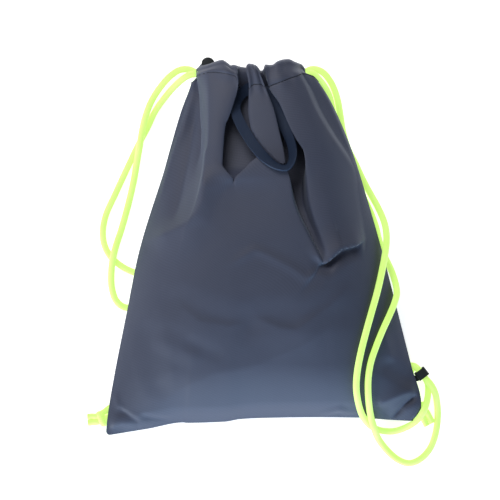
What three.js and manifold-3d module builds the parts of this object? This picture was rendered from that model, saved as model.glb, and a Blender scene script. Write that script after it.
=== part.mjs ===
// Drawstring bag lying on its back, as in the photograph.
// Millimetres. X runs to the right, Y from the bottom seam to the mouth, Z up from the floor.
import * as THREE from "three";
import { mergeVertices } from "three/addons/utils/BufferGeometryUtils.js";
import Module from "manifold-3d";

const wasm = await Module();
wasm.setup();

// Driving dimensions
const WALL = 2; // cloth with its lining
const CORD_DIAMETER = 6.5;
const CORD_SIDES = 8;
const WEBBING_WIDTH = 11;
const WEBBING_THICKNESS = 1.6;
const TUNNEL_START = 0.945; // share of the panel's height where the tunnel is stitched
const TUNNEL_ROUND = 4; // how far the fold bulges past the mouth line
const FLAP_OVERLAP = 2; // the flap's raw edge, past the stitch line
const FRONT_FLAP_Z = 21.5;
const BACK_FLAP_Z = 13.4;
const CORNER_RISE = 3.5; // a bottom corner lies on its knot
const CORNER_SHARE = 0.14; // height share over which that rise fades
const CORNER_POWER = 8; // how close to the side seam it stays
const BACK_FLAT_SHARE = 0.7; // share of the half width that rests on the floor
const BACK_BOTTOM_SHARE = 0.09; // height share over which the back lifts to the bottom seam
const BULGE_POWER = 2.6; // how square the front's cross section is

// Cells of the cloth grids
const FRONT_ACROSS = 34;
const FRONT_UP = 30;
const BACK_ACROSS = 22;
const BACK_UP = 22;
const FOLD_CELLS = 3;
const FLAP_CELLS = 2;

// The bottom edge from the left corner to the right one. "across" is a share of the width.
const BOTTOM_EDGE = [
  { across: 0, y: -193 },
  { across: 0.1, y: -190 },
  { across: 0.25, y: -185 },
  { across: 0.45, y: -179.5 },
  { across: 0.75, y: -178 },
  { across: 0.93, y: -180 },
  { across: 1, y: -178 },
];

// The front's mouth edge, where its tunnel is folded. "thread" is a share of the flat hem.
const MOUTH_EDGE = [
  { thread: 0, y: 180 },
  { thread: 0.1, y: 187 },
  { thread: 0.28, y: 186 },
  { thread: 0.37, y: 179 },
  { thread: 0.49, y: 183 },
  { thread: 0.66, y: 176 },
  { thread: 0.74, y: 183 },
  { thread: 0.85, y: 188 },
  { thread: 0.94, y: 186 },
  { thread: 1, y: 178 },
];

// The back's mouth edge.
const BACK_MOUTH_EDGE = [
  { thread: 0, y: 184 },
  { thread: 0.14, y: 187 },
  { thread: 0.38, y: 180 },
  { thread: 0.66, y: 178 },
  { thread: 0.86, y: 186 },
  { thread: 1, y: 185 },
];

// Cross sections of the lying bag. "up" is a share of the height, left and right are the side seams,
// seam and backSeam the heights of the front's and the back's edge, bulge the crown's height over the seam.
const SECTIONS = [
  { up: 0, left: -163.5, right: 153, seam: 11.7, backSeam: 9.3, bulge: 0 },
  { up: 0.05, left: -161.5, right: 161, seam: 16, backSeam: 13.6, bulge: 20 },
  { up: 0.16, left: -153.5, right: 149.5, seam: 19.2, backSeam: 16.8, bulge: 39 },
  { up: 0.35, left: -139, right: 133, seam: 22, backSeam: 19.6, bulge: 49 },
  { up: 0.5, left: -127, right: 120, seam: 23.2, backSeam: 20.8, bulge: 47 },
  { up: 0.73, left: -102, right: 94.5, seam: 25.2, backSeam: 22.8, bulge: 36 },
  { up: 0.87, left: -86, right: 72, seam: 27.2, backSeam: 20.8, bulge: 27 },
  { up: 0.945, left: -75, right: 55, seam: 31.2, backSeam: 4, bulge: 21 },
  { up: 0.98, left: -70.5, right: 42.5, seam: 31.2, backSeam: 1, bulge: 21 },
  { up: 1, left: -68, right: 39, seam: 31.2, backSeam: 1, bulge: 20 },
];

// Where the cloth's threads gather along the mouth. "thread" is a share of the flat hem and "across" of
// the gathered one.
const GATHERS = [
  { thread: 0, across: 0 },
  { thread: 0.1, across: 0.08 },
  { thread: 0.3, across: 0.38 },
  { thread: 0.37, across: 0.435 },
  { thread: 0.43, across: 0.5 },
  { thread: 0.56, across: 0.63 },
  { thread: 0.66, across: 0.667 },
  { thread: 0.74, across: 0.71 },
  { thread: 0.92, across: 0.94 },
  { thread: 1, across: 1 },
];
const GATHER_FROM = 0.35; // height share where the gathers begin to draw the threads together
const GATHER_FULL = 0.95;

// Folds that fan out from the mouth along the threads. A valley's height is negative. "kept" is the share
// of it that reaches the tunnel.
const FRONT_FOLDS = [
  { name: "left tuck", thread: 0.06, half: 0.06, height: -8, from: 0.42, full: 0.8, kept: 0.3 },
  { name: "left pleat", thread: 0.22, half: 0.1, height: 6, from: 0.52, full: 0.9, kept: 1 },
  { name: "left valley", thread: 0.37, half: 0.075, height: -20, from: 0.62, full: 0.82, kept: 1 },
  { name: "centre pleat", thread: 0.49, half: 0.06, height: 3, from: 0.7, full: 0.86, kept: 1 },
  { name: "right valley", thread: 0.665, half: 0.085, height: -19, from: 0.42, full: 0.76, kept: 1 },
  { name: "right pleat", thread: 0.82, half: 0.1, height: 6, from: 0.45, full: 0.85, kept: 1 },
  { name: "right tuck", thread: 0.95, half: 0.05, height: -6, from: 0.5, full: 0.8, kept: 0.3 },
];
const FOLD_EASE = 0.86; // height share where a fold starts to ease into the tunnel

// Dents of the front that don't follow the threads, each along a straight line.
const FRONT_DENTS = [
  { name: "dent below the right pleat", x0: 58, y0: -16, x1: 92, y1: 2, half: 16, height: -7 },
  { name: "left sag", x0: -90, y0: -58, x1: -18, y1: -80, half: 18, height: -3 },
  { name: "right sag", x0: -6, y0: -72, x1: 82, y1: -66, half: 18, height: -3 },
  { name: "left corner ridge", x0: -150, y0: -168, x1: -72, y1: -183, half: 10, height: 3 },
];

const BACK_RUFFLES = 5;
const BACK_RUFFLE_HEIGHT = 2;
const BACK_RUFFLE_FROM = 0.7;

// Cord that lies under the bag lifts its back.
const CORD_LIFT = 7.7;
const CORD_LIFT_FULL = 17; // distance from the cord where the back comes down from it
const CORD_LIFT_GONE = 40;
const CORD_LOW = 5; // a stretch of cord higher than this lies beside the bag or on it

// Free strands of cord, from the tunnel to the corner knot.
const LEFT_FRONT_ROUTE = [
  [-71.6, 178, 26.2], [-79.6, 175.8, 25], [-92, 166.4, 18], [-103.5, 153.9, 9], [-113.9, 139.4, 4.2],
  [-121.2, 123.8, 3.3], [-131.6, 104, 3.3], [-143, 80.1, 3.3], [-155.5, 53, 3.3], [-164.8, 32.2, 3.3],
  [-168, 14.6, 3.3], [-165.9, 0, 3.3], [-158.6, -12.5, 3.3], [-147.2, -21.8, 3.3], [-133.6, -28.1, 3.3],
  [-105, -37, 3.3], [-70, -43, 3.3], [-30, -50, 3.3], [-14.5, -57, 3.3], [-5, -68, 3.3], [-1, -81, 3.3],
  [-2, -95, 3.3], [-8.5, -108, 3.3], [-20, -118, 3.3], [-55, -132, 3.3], [-90, -141, 3.3], [-115, -148, 3.3],
  [-132.5, -156.8, 4.2], [-145, -165.7, 5], [-153, -171.3, 5], [-162.4, -177.9, 5],
];
const LEFT_BACK_ROUTE = [
  [-60, 178, 8.7], [-70, 179.8, 8.9], [-79, 183.3, 9.5], [-88, 182.6, 10.2], [-97.5, 176.5, 10.6],
  [-107.6, 165.4, 10.6], [-117, 150.8, 10.6], [-123.2, 135.2, 10.4], [-126.9, 119.6, 10.3], [-129.5, 104, 10],
  [-132.6, 86.3, 7.6], [-135.7, 68.6, 4], [-140.9, 45.8, 3.3], [-148.2, 18.7, 5.5], [-154.4, -1, 10],
  [-157.6, -14.6, 10.4], [-159.1, -29.1, 7.6], [-158.6, -43.7, 3.9], [-154.4, -56.2, 3.3],
  [-147.2, -62.9, 3.3], [-137.8, -64.5, 3.3], [-110, -62, 3.3], [-75, -62, 3.3], [-42, -68, 3.3],
  [-30.5, -74.5, 3.3], [-24, -84, 3.3], [-24, -95, 3.3], [-30, -104, 3.3], [-42, -111, 3.3], [-58, -117, 3.3],
  [-95, -127, 3.3], [-118, -138, 3.3], [-136.5, -151.2, 4.2], [-149, -160, 5], [-157, -165.7, 5],
  [-165, -171.4, 5],
];
const RIGHT_FRONT_ROUTE = [
  [42.5, 177, 26.2], [49, 178.5, 25], [56.7, 172, 19], [64.5, 161.5, 10], [68.6, 150.8, 5], [71, 138.3, 3.3],
  [73, 122.7, 3.3], [77, 106.1, 3.3], [84.4, 89.4, 3.3], [93.4, 70.7, 3.3], [102, 52, 3.3], [110, 35.4, 3.3],
  [115.5, 20.8, 3.3], [118.5, 8.3, 3.3], [122, -4.2, 3.3], [127.4, -16.1, 4.5], [132.6, -28.1, 10],
  [136.2, -41.6, 19.5], [136.7, -49.5, 25.5], [134.6, -57.5, 29], [129.5, -69.7, 34.5], [121.7, -86.3, 40.5],
  [114.4, -104, 44.8], [109.2, -119.6, 46], [106.6, -136.2, 44.4], [106.6, -151.8, 39.5], [108.4, -168.5, 29],
  [110.5, -179, 23.5], [113, -187, 20], [118, -199.7, 8.5], [127.4, -212.2, 3.6], [138.8, -222, 3.3],
  [150.3, -225.7, 3.3], [161.7, -221.5, 3.3], [172.1, -210.1, 3.3], [177.8, -194.5, 3.3], [180, -176.8, 3.3],
  [179.2, -163, 5.5], [176.6, -151.5, 10.2], [172.2, -143.4, 12.2], [166.8, -137.4, 12.2],
  [163, -132.5, 12.2], [159.2, -127.6, 12.2], [154.8, -124.4, 11.8], [149.8, -124.6, 10], [146, -128.4, 7],
  [144.4, -134.5, 4.4], [144, -142, 3.3], [144, -150, 3.3], [144.2, -158, 3.3], [145.6, -165.4, 3.3],
  [149.6, -170.6, 3.6], [155.8, -172.5, 4.4],
];
const RIGHT_BACK_ROUTE = [
  [34, 178, 8.7], [42, 180.5, 8.8], [49.5, 183.5, 8.6], [59.5, 181, 8], [69.2, 169.5, 6], [75.4, 153.9, 4.4],
  [78.5, 137.3, 3.3], [81.1, 120.6, 3.3], [86.3, 101.9, 3.3], [94.2, 86.3, 3.3], [102.4, 68.6, 3.3],
  [110.2, 54.1, 3.3], [118.6, 38.5, 6], [124.3, 23.9, 13], [126.2, 9.4, 21], [125, -5.2, 28],
  [121.2, -25, 34], [116, -46.8, 42], [109.7, -68.6, 47.8], [103.5, -90.5, 51.3], [98.3, -111.3, 51.7],
  [95, -130, 49.7], [94.2, -145.6, 45], [96.2, -160.2, 37.6], [100.4, -173.7, 26.3], [105, -181, 17],
  [111.5, -187.5, 9.8],
  [122.2, -191.9, 4.5], [134.7, -192.4, 3.3], [147.2, -188.2, 6], [157.6, -181, 13], [165.4, -169.5, 16.6],
  [168.8, -159, 10.2], [170, -150.5, 5.6], [169.6, -143, 5.1], [166.8, -137.4, 5.1], [163, -132.5, 5.1],
  [159.2, -127.6, 5.1], [156, -126.2, 4.8], [153, -127.8, 4.2], [151.6, -132, 3.6], [152, -137.5, 3.3],
  [153.6, -143.5, 3.3], [155.6, -149.5, 3.3], [157.2, -155, 3.4], [158.8, -163, 4.2],
];

// The cords' hidden runs inside the tunnels, from end to end.
const FRONT_RUN_ROUTE = [
  [-69.8, 178, 26.2], [-45, 175, 26.2], [-20, 172, 26.2], [10, 171.5, 26.2], [41.2, 177, 26.2],
];
const BACK_RUN_ROUTE = [[-59, 178, 8.7], [-30, 173.5, 8.7], [5, 172.5, 8.7], [32.8, 178, 8.7]];

// The carry handle's centre line, with the angle at which its webbing stands up from the cloth.
const HANDLE = [
  { x: -14, y: 164, z: 54, tilt: 5 },
  { x: -22.4, y: 158, z: 55, tilt: 15 },
  { x: -28.6, y: 150, z: 58, tilt: 22 },
  { x: -30.2, y: 139.4, z: 60, tilt: 22 },
  { x: -25.5, y: 126.9, z: 59.5, tilt: 18 },
  { x: -17.2, y: 112.3, z: 60.5, tilt: 15 },
  { x: -7.8, y: 98.8, z: 64, tilt: 18 },
  { x: 2.6, y: 87.9, z: 66.5, tilt: 35 },
  { x: 13, y: 81.1, z: 68, tilt: 60 },
  { x: 22.4, y: 80.1, z: 67.5, tilt: 75 },
  { x: 28.6, y: 86.3, z: 66, tilt: 75 },
  { x: 31.2, y: 96.7, z: 64, tilt: 65 },
  { x: 29.1, y: 108.2, z: 61, tilt: 55 },
  { x: 24.4, y: 119.6, z: 59, tilt: 45 },
  { x: 18.2, y: 132.1, z: 60.5, tilt: 30 },
  { x: 12, y: 144.6, z: 60.5, tilt: 20 },
  { x: 6.8, y: 156, z: 59.2, tilt: 10 },
  { x: 4.2, y: 164, z: 57.6, tilt: 5 },
];
const HANDLE_CELLS = 30;

// Webbing loops round the strands: the centre in plan, the strands' heading in degrees, and the clear
// width and height.
const SIDE_LOOPS = {
  left: { x: -155, y: -168.5, heading: 215.3, clearWidth: 15.4, clearHeight: 7.2 },
  right: { x: 163, y: -132.5, heading: 128, clearWidth: 9.6, clearHeight: 14.8 },
};
const LOOP_LENGTH = 9.5; // the loop's webbing width
const LOOP_WALL = 1.4;
const LOOP_ROUND = 3;
const LOOP_ROUND_CELLS = 3;
const TONGUE = { x: 156.4, y: -137.2, z: 12.5, length: 7, width: 6 }; // leads the right loop to the side seam

// Tied ends: the lump's centre and half sizes, and where each cut end stops.
const KNOTS = {
  left: { x: -171, y: -178.6, z: 5.6, ends: [[-183.8, -175.2, 4.2], [-183, -183.6, 4]] },
  right: { x: 164, y: -170.6, z: 5.6, ends: [[172.4, -181.6, 4], [167, -187, 3.7]] },
};
const KNOT_HALF = { across: 7.2, along: 8, up: 5.5 };
const KNOT_SIDES = 14;

// Black webbing tab behind the mouth's left end.
const TAB = { x: -59, yFrom: 176, yTo: 195, z: 16.3, width: 14.5, thickness: 3 };
const TAB_ROUND_CELLS = 10;

const MERGE_DISTANCE = 0.001; // vertices closer than this are one

function clamp(value, low, high) {
  return Math.min(high, Math.max(low, value));
}

function smoothstep(from, to, value) {
  const t = clamp((value - from) / (to - from), 0, 1);
  return t * t * (3 - 2 * t);
}

// A table's column at a place along its key column: smooth, and never past its rows.
function along(rows, key, column, place) {
  const last = rows.length - 1;
  const at = clamp(place, rows[0][key], rows[last][key]);
  let i = 0;
  while (i < last - 1 && at > rows[i + 1][key]) i += 1;
  const rise = (k) => (rows[k + 1][column] - rows[k][column]) / (rows[k + 1][key] - rows[k][key]);
  const slope = (k) => {
    if (k === 0) return rise(0);
    if (k === last) return rise(last - 1);
    const before = rise(k - 1);
    const after = rise(k);
    return before * after <= 0 ? 0 : (2 * before * after) / (before + after);
  };
  const span = rows[i + 1][key] - rows[i][key];
  const t = (at - rows[i][key]) / span;
  const s = 1 - t;
  return (
    rows[i][column] * (1 + 2 * t) * s * s +
    slope(i) * span * t * s * s +
    rows[i + 1][column] * (3 - 2 * t) * t * t -
    slope(i + 1) * span * t * t * s
  );
}

// A fold's smooth cross section: 1 at its line, 0 from its half width on.
function hump(distance, half) {
  return 1 - smoothstep(0, half, Math.abs(distance));
}

function distanceToSegment(x, y, x0, y0, x1, y1) {
  const dx = x1 - x0;
  const dy = y1 - y0;
  const t = clamp(((x - x0) * dx + (y - y0) * dy) / (dx * dx + dy * dy), 0, 1);
  return Math.hypot(x - x0 - t * dx, y - y0 - t * dy);
}

// Plan position of a thread at a height share, and how far across its section it lies, from -1 to 1.
function planOf(thread, up, mouthY) {
  const gathered = along(GATHERS, "thread", "across", thread);
  const drawn = smoothstep(GATHER_FROM, GATHER_FULL, up);
  const across = thread + (gathered - thread) * drawn;
  const left = along(SECTIONS, "up", "left", up);
  const right = along(SECTIONS, "up", "right", up);
  const bottom = along(BOTTOM_EDGE, "across", "y", thread);
  return {
    x: left + (right - left) * across,
    y: bottom + (mouthY - bottom) * up,
    side: 2 * across - 1,
  };
}

function cornerRise(side, up) {
  return CORNER_RISE * Math.pow(Math.abs(side), CORNER_POWER) * (1 - smoothstep(0, CORNER_SHARE, up));
}

function frontPoint(thread, up) {
  const { x, y, side } = planOf(thread, up, along(MOUTH_EDGE, "thread", "y", thread));
  const crown = along(SECTIONS, "up", "bulge", up) * (1 - Math.pow(Math.abs(side), BULGE_POWER));
  let z = along(SECTIONS, "up", "seam", up) + cornerRise(side, up) + crown;
  for (const fold of FRONT_FOLDS) {
    const eased = 1 - (1 - fold.kept) * smoothstep(FOLD_EASE, TUNNEL_START, up);
    const reach = smoothstep(fold.from, fold.full, up) * eased;
    z += fold.height * hump(thread - fold.thread, fold.half) * reach;
  }
  for (const dent of FRONT_DENTS) {
    z += dent.height * hump(distanceToSegment(x, y, dent.x0, dent.y0, dent.x1, dent.y1), dent.half);
  }
  return new THREE.Vector3(x, y, z);
}

// How far the hidden cords lift the back at a place.
function liftOverCords(x, y) {
  let nearest = Infinity;
  for (const route of [LEFT_FRONT_ROUTE, LEFT_BACK_ROUTE, RIGHT_FRONT_ROUTE, RIGHT_BACK_ROUTE]) {
    for (let i = 1; i < route.length; i += 1) {
      const [x0, y0, z0] = route[i - 1];
      const [x1, y1, z1] = route[i];
      if (Math.max(z0, z1) > CORD_LOW) continue;
      nearest = Math.min(nearest, distanceToSegment(x, y, x0, y0, x1, y1));
    }
  }
  return CORD_LIFT * (1 - smoothstep(CORD_LIFT_FULL, CORD_LIFT_GONE, nearest));
}

function backPoint(thread, up) {
  const { x, y, side } = planOf(thread, up, along(BACK_MOUTH_EDGE, "thread", "y", thread));
  const edge = along(SECTIONS, "up", "backSeam", up) + cornerRise(side, up) - WALL / 2;
  const towardsSide = clamp((Math.abs(side) - BACK_FLAT_SHARE) / (1 - BACK_FLAT_SHARE), 0, 1);
  const towardsBottom = clamp(1 - up / BACK_BOTTOM_SHARE, 0, 1);
  const ruffle = 0.5 - 0.5 * Math.cos(2 * Math.PI * BACK_RUFFLES * thread);
  const rise = Math.max(edge * towardsSide, edge * towardsBottom);
  const ruffled = BACK_RUFFLE_HEIGHT * ruffle * smoothstep(BACK_RUFFLE_FROM, TUNNEL_START, up);
  return new THREE.Vector3(x, y, WALL / 2 + Math.max(rise, ruffled, liftOverCords(x, y)));
}

// A panel's grid of mid-surface points: the body, the fold at the mouth and the flap that closes the tunnel.
function panelGrid(pointAt, flapZ, cellsAcross, cellsUp) {
  const grid = [];
  const rowOf = (make) => Array.from({ length: cellsAcross + 1 }, (_, i) => make(i / cellsAcross));
  for (let j = 0; j <= cellsUp; j += 1) grid.push(rowOf((thread) => pointAt(thread, j / cellsUp)));
  for (let j = 1; j <= FOLD_CELLS; j += 1) {
    const angle = (Math.PI * j) / FOLD_CELLS;
    grid.push(
      rowOf((thread) => {
        const top = pointAt(thread, 1);
        const middle = (top.z + flapZ) / 2;
        const z = middle + ((top.z - flapZ) / 2) * Math.cos(angle);
        return new THREE.Vector3(top.x, top.y + TUNNEL_ROUND * Math.sin(angle), z);
      }),
    );
  }
  for (let j = 1; j <= FLAP_CELLS; j += 1) {
    const up = 1 - ((1 - TUNNEL_START) * j) / FLAP_CELLS;
    const past = j === FLAP_CELLS ? FLAP_OVERLAP : 0;
    grid.push(
      rowOf((thread) => {
        const edge = pointAt(thread, 1);
        return new THREE.Vector3(edge.x, pointAt(thread, up).y - past, flapZ);
      }),
    );
  }
  return grid;
}

// A closed sheet of even thickness about a grid of points.
function sheetSolid(grid, thickness) {
  const rows = grid.length;
  const columns = grid[0].length;
  const positions = [];
  const indices = [];
  const at = (j, i) => grid[clamp(j, 0, rows - 1)][clamp(i, 0, columns - 1)];
  const normalAt = (j, i) => {
    const alongRow = at(j, i + 1).clone().sub(at(j, i - 1));
    const alongColumn = at(j + 1, i).clone().sub(at(j - 1, i));
    return alongRow.cross(alongColumn).normalize();
  };
  for (const half of [thickness / 2, -thickness / 2]) {
    for (let j = 0; j < rows; j += 1) {
      for (let i = 0; i < columns; i += 1) {
        const p = normalAt(j, i).multiplyScalar(half).add(at(j, i));
        positions.push(p.x, p.y, p.z);
      }
    }
  }
  const outer = (j, i) => j * columns + i;
  const inner = (j, i) => rows * columns + outer(j, i);
  const quad = (a, b, c, d) => indices.push(a, b, c, a, c, d);
  for (let j = 0; j < rows - 1; j += 1) {
    for (let i = 0; i < columns - 1; i += 1) {
      quad(outer(j, i), outer(j, i + 1), outer(j + 1, i + 1), outer(j + 1, i));
      quad(inner(j, i), inner(j + 1, i), inner(j + 1, i + 1), inner(j, i + 1));
    }
  }
  for (let i = 0; i < columns - 1; i += 1) {
    quad(outer(0, i), inner(0, i), inner(0, i + 1), outer(0, i + 1));
    quad(outer(rows - 1, i), outer(rows - 1, i + 1), inner(rows - 1, i + 1), inner(rows - 1, i));
  }
  for (let j = 0; j < rows - 1; j += 1) {
    quad(outer(j, 0), outer(j + 1, 0), inner(j + 1, 0), inner(j, 0));
    const i = columns - 1;
    quad(outer(j, i), inner(j, i), inner(j + 1, i), outer(j + 1, i));
  }
  const geometry = new THREE.BufferGeometry();
  geometry.setAttribute("position", new THREE.Float32BufferAttribute(positions, 3));
  geometry.setIndex(indices);
  return geometry;
}

// A curve whose even shares fall on its route's own points, so that a tight turn keeps its shape.
class RoutePath extends THREE.CatmullRomCurve3 {
  getPointAt(share) {
    return this.getPoint(share);
  }

  getTangentAt(share) {
    return this.getTangent(share);
  }
}

// A round cord along a route of points.
function cordTube(route) {
  const section = new THREE.Shape();
  for (let k = 0; k < CORD_SIDES; k += 1) {
    const angle = (2 * Math.PI * k) / CORD_SIDES;
    const x = (CORD_DIAMETER / 2) * Math.cos(angle);
    const y = (CORD_DIAMETER / 2) * Math.sin(angle);
    if (k === 0) section.moveTo(x, y);
    else section.lineTo(x, y);
  }
  section.closePath();
  const path = new RoutePath(route.map(([x, y, z]) => new THREE.Vector3(x, y, z)));
  const steps = route.length - 1;
  return new THREE.ExtrudeGeometry(section, { steps, bevelEnabled: false, extrudePath: path });
}

// A flat webbing strip along the handle's centre line.
function handleStrip() {
  const line = new THREE.CatmullRomCurve3(HANDLE.map(({ x, y, z }) => new THREE.Vector3(x, y, z)));
  const rows = HANDLE.map(({ tilt }, i) => ({ share: i / (HANDLE.length - 1), tilt }));
  const grid = [];
  for (let j = 0; j <= HANDLE_CELLS; j += 1) {
    const share = j / HANDLE_CELLS;
    const tangent = line.getTangent(share);
    const flat = new THREE.Vector3(tangent.y, -tangent.x, 0).normalize();
    const tilt = THREE.MathUtils.degToRad(along(rows, "share", "tilt", share));
    const side = flat.multiplyScalar(Math.cos(tilt)).add(new THREE.Vector3(0, 0, Math.sin(tilt)));
    const centre = line.getPoint(share);
    grid.push([-0.5, 0.5].map((k) => centre.clone().addScaledVector(side, k * WEBBING_WIDTH)));
  }
  return sheetSolid(grid, WEBBING_THICKNESS);
}

function roundedBox(path, halfWidth, low, high, radius) {
  path.moveTo(-halfWidth + radius, low);
  path.lineTo(halfWidth - radius, low);
  path.absarc(halfWidth - radius, low + radius, radius, -Math.PI / 2, 0, false);
  path.lineTo(halfWidth, high - radius);
  path.absarc(halfWidth - radius, high - radius, radius, 0, Math.PI / 2, false);
  path.lineTo(-halfWidth + radius, high);
  path.absarc(-halfWidth + radius, high - radius, radius, Math.PI / 2, Math.PI, false);
  path.lineTo(-halfWidth, low + radius);
  path.absarc(-halfWidth + radius, low + radius, radius, Math.PI, 1.5 * Math.PI, false);
  return path;
}

// A webbing loop that stands on the floor round two strands.
function sideLoop({ x, y, heading, clearWidth, clearHeight }) {
  const half = clearWidth / 2;
  const height = clearHeight + 2 * LOOP_WALL;
  const outline = roundedBox(new THREE.Shape(), half + LOOP_WALL, 0, height, LOOP_ROUND + LOOP_WALL);
  outline.holes.push(roundedBox(new THREE.Path(), half, LOOP_WALL, height - LOOP_WALL, LOOP_ROUND));
  const options = { depth: LOOP_LENGTH, bevelEnabled: false, curveSegments: LOOP_ROUND_CELLS };
  const loop = new THREE.ExtrudeGeometry(outline, options);
  loop.translate(0, 0, -LOOP_LENGTH / 2);
  const angle = THREE.MathUtils.degToRad(heading);
  const ahead = new THREE.Vector3(Math.cos(angle), Math.sin(angle), 0);
  const up = new THREE.Vector3(0, 0, 1);
  const across = new THREE.Vector3().crossVectors(up, ahead);
  loop.applyMatrix4(new THREE.Matrix4().makeBasis(across, up, ahead).setPosition(x, y, 0));
  return loop;
}

function solidOf(geometry) {
  const bare = geometry.clone();
  bare.deleteAttribute("normal");
  bare.deleteAttribute("uv");
  const merged = mergeVertices(bare, MERGE_DISTANCE);
  const vertProperties = merged.attributes.position.array;
  const triVerts = new Uint32Array(merged.index.array);
  return new wasm.Manifold(new wasm.Mesh({ numProp: 3, vertProperties, triVerts }));
}

function joined(geometries) {
  const mesh = wasm.Manifold.union(geometries.map(solidOf)).getMesh();
  const geometry = new THREE.BufferGeometry();
  geometry.setAttribute("position", new THREE.BufferAttribute(mesh.vertProperties, 3));
  geometry.setIndex(new THREE.BufferAttribute(mesh.triVerts, 1));
  return geometry;
}

function rightLoop() {
  const tongue = new THREE.BoxGeometry(TONGUE.length, TONGUE.width, LOOP_WALL);
  tongue.translate(TONGUE.x, TONGUE.y, TONGUE.z);
  return joined([sideLoop(SIDE_LOOPS.right), tongue]);
}

// A tied lump with its two cut ends.
function knot({ x, y, z, ends }) {
  const lump = new THREE.SphereGeometry(1, KNOT_SIDES, KNOT_SIDES / 2);
  lump.scale(KNOT_HALF.across, KNOT_HALF.along, KNOT_HALF.up);
  lump.translate(x, y, z);
  const stubs = ends.map((end) => cordTube([[x, y, z], end]));
  return joined([lump, ...stubs]);
}

function mouthTab() {
  const half = TAB.width / 2;
  const straight = TAB.yTo - TAB.yFrom - half;
  const outline = new THREE.Shape();
  outline.moveTo(-half, 0);
  outline.lineTo(half, 0);
  outline.lineTo(half, straight);
  outline.absarc(0, straight, half, 0, Math.PI, false);
  const options = { depth: TAB.thickness, bevelEnabled: false, curveSegments: TAB_ROUND_CELLS };
  const tab = new THREE.ExtrudeGeometry(outline, options);
  tab.translate(TAB.x, TAB.yFrom, TAB.z - TAB.thickness / 2);
  return tab;
}

const CLOTH = new THREE.MeshStandardMaterial({ color: 0x525a6d, roughness: 0.75 });
const CORD = new THREE.MeshStandardMaterial({ color: 0xd8f57e, roughness: 0.7 });
const WEBBING = new THREE.MeshStandardMaterial({ color: 0x2e3b52, roughness: 0.8 });
const BLACK_WEBBING = new THREE.MeshStandardMaterial({ color: 0x202628, roughness: 0.7 });

const bag = new THREE.Group();
bag.name = "drawstring_bag";

function addPiece(name, geometry, material) {
  const mesh = new THREE.Mesh(geometry, material);
  mesh.name = name;
  bag.add(mesh);
}

const frontGrid = panelGrid(frontPoint, FRONT_FLAP_Z, FRONT_ACROSS, FRONT_UP);
const backGrid = panelGrid(backPoint, BACK_FLAP_Z, BACK_ACROSS, BACK_UP);
addPiece("front_panel", sheetSolid(frontGrid, WALL), CLOTH);
addPiece("back_panel", sheetSolid(backGrid, WALL), CLOTH);
addPiece("carry_handle", handleStrip(), WEBBING);
addPiece("mouth_tab", mouthTab(), BLACK_WEBBING);
addPiece("left_side_loop", sideLoop(SIDE_LOOPS.left), BLACK_WEBBING);
addPiece("right_side_loop", rightLoop(), BLACK_WEBBING);
addPiece("left_front_strand", cordTube(LEFT_FRONT_ROUTE), CORD);
addPiece("left_back_strand", cordTube(LEFT_BACK_ROUTE), CORD);
addPiece("right_front_strand", cordTube(RIGHT_FRONT_ROUTE), CORD);
addPiece("right_back_strand", cordTube(RIGHT_BACK_ROUTE), CORD);
addPiece("front_cord_run", cordTube(FRONT_RUN_ROUTE), CORD);
addPiece("back_cord_run", cordTube(BACK_RUN_ROUTE), CORD);
addPiece("left_knot", knot(KNOTS.left), CORD);
addPiece("right_knot", knot(KNOTS.right), CORD);

export default bag;
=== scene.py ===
# Drawstring bag lying on its back: its looks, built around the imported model. Metres, +Z up.
import math

import bmesh
import bpy
import numpy as np
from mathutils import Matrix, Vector
from mathutils.kdtree import KDTree


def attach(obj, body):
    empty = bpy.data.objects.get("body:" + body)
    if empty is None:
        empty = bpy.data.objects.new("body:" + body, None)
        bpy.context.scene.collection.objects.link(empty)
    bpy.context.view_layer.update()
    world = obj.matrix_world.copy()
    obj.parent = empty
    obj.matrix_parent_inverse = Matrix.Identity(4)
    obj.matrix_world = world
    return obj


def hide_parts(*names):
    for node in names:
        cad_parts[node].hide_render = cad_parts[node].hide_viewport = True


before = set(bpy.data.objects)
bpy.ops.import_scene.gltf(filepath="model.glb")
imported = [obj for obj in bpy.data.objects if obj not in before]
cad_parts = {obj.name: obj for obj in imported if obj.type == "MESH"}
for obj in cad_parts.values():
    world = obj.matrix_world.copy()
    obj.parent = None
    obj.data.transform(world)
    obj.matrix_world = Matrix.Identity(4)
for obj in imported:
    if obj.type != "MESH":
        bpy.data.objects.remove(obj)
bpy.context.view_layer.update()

MM = 0.001  # lengths below are in millimetres where no other unit is named

# Camera: straight above, with the photograph's scale
PHOTO_SIDE = 500  # pixels
MM_PER_PIXEL = 1.04
ORIGIN_PIXEL = (264.5, 246.0)  # where the frame's origin lies in the photograph
CAMERA_HEIGHT = 4.0  # metres
SENSOR_WIDTH = 36.0

# Sizes of cloth, cord and webbing
PANEL_WIDTH = 340  # flat cut
PANEL_LENGTH = 410
BODY_LENGTH = 374  # of the panel's length, up to the mouth
FOLD_LENGTH = 14  # the next stretch, round the mouth to the flap
CLOTH_THICKNESS = 1.5
WEBBING_WIDTH = 11
WEBBING_THICKNESS = 1.6

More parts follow.
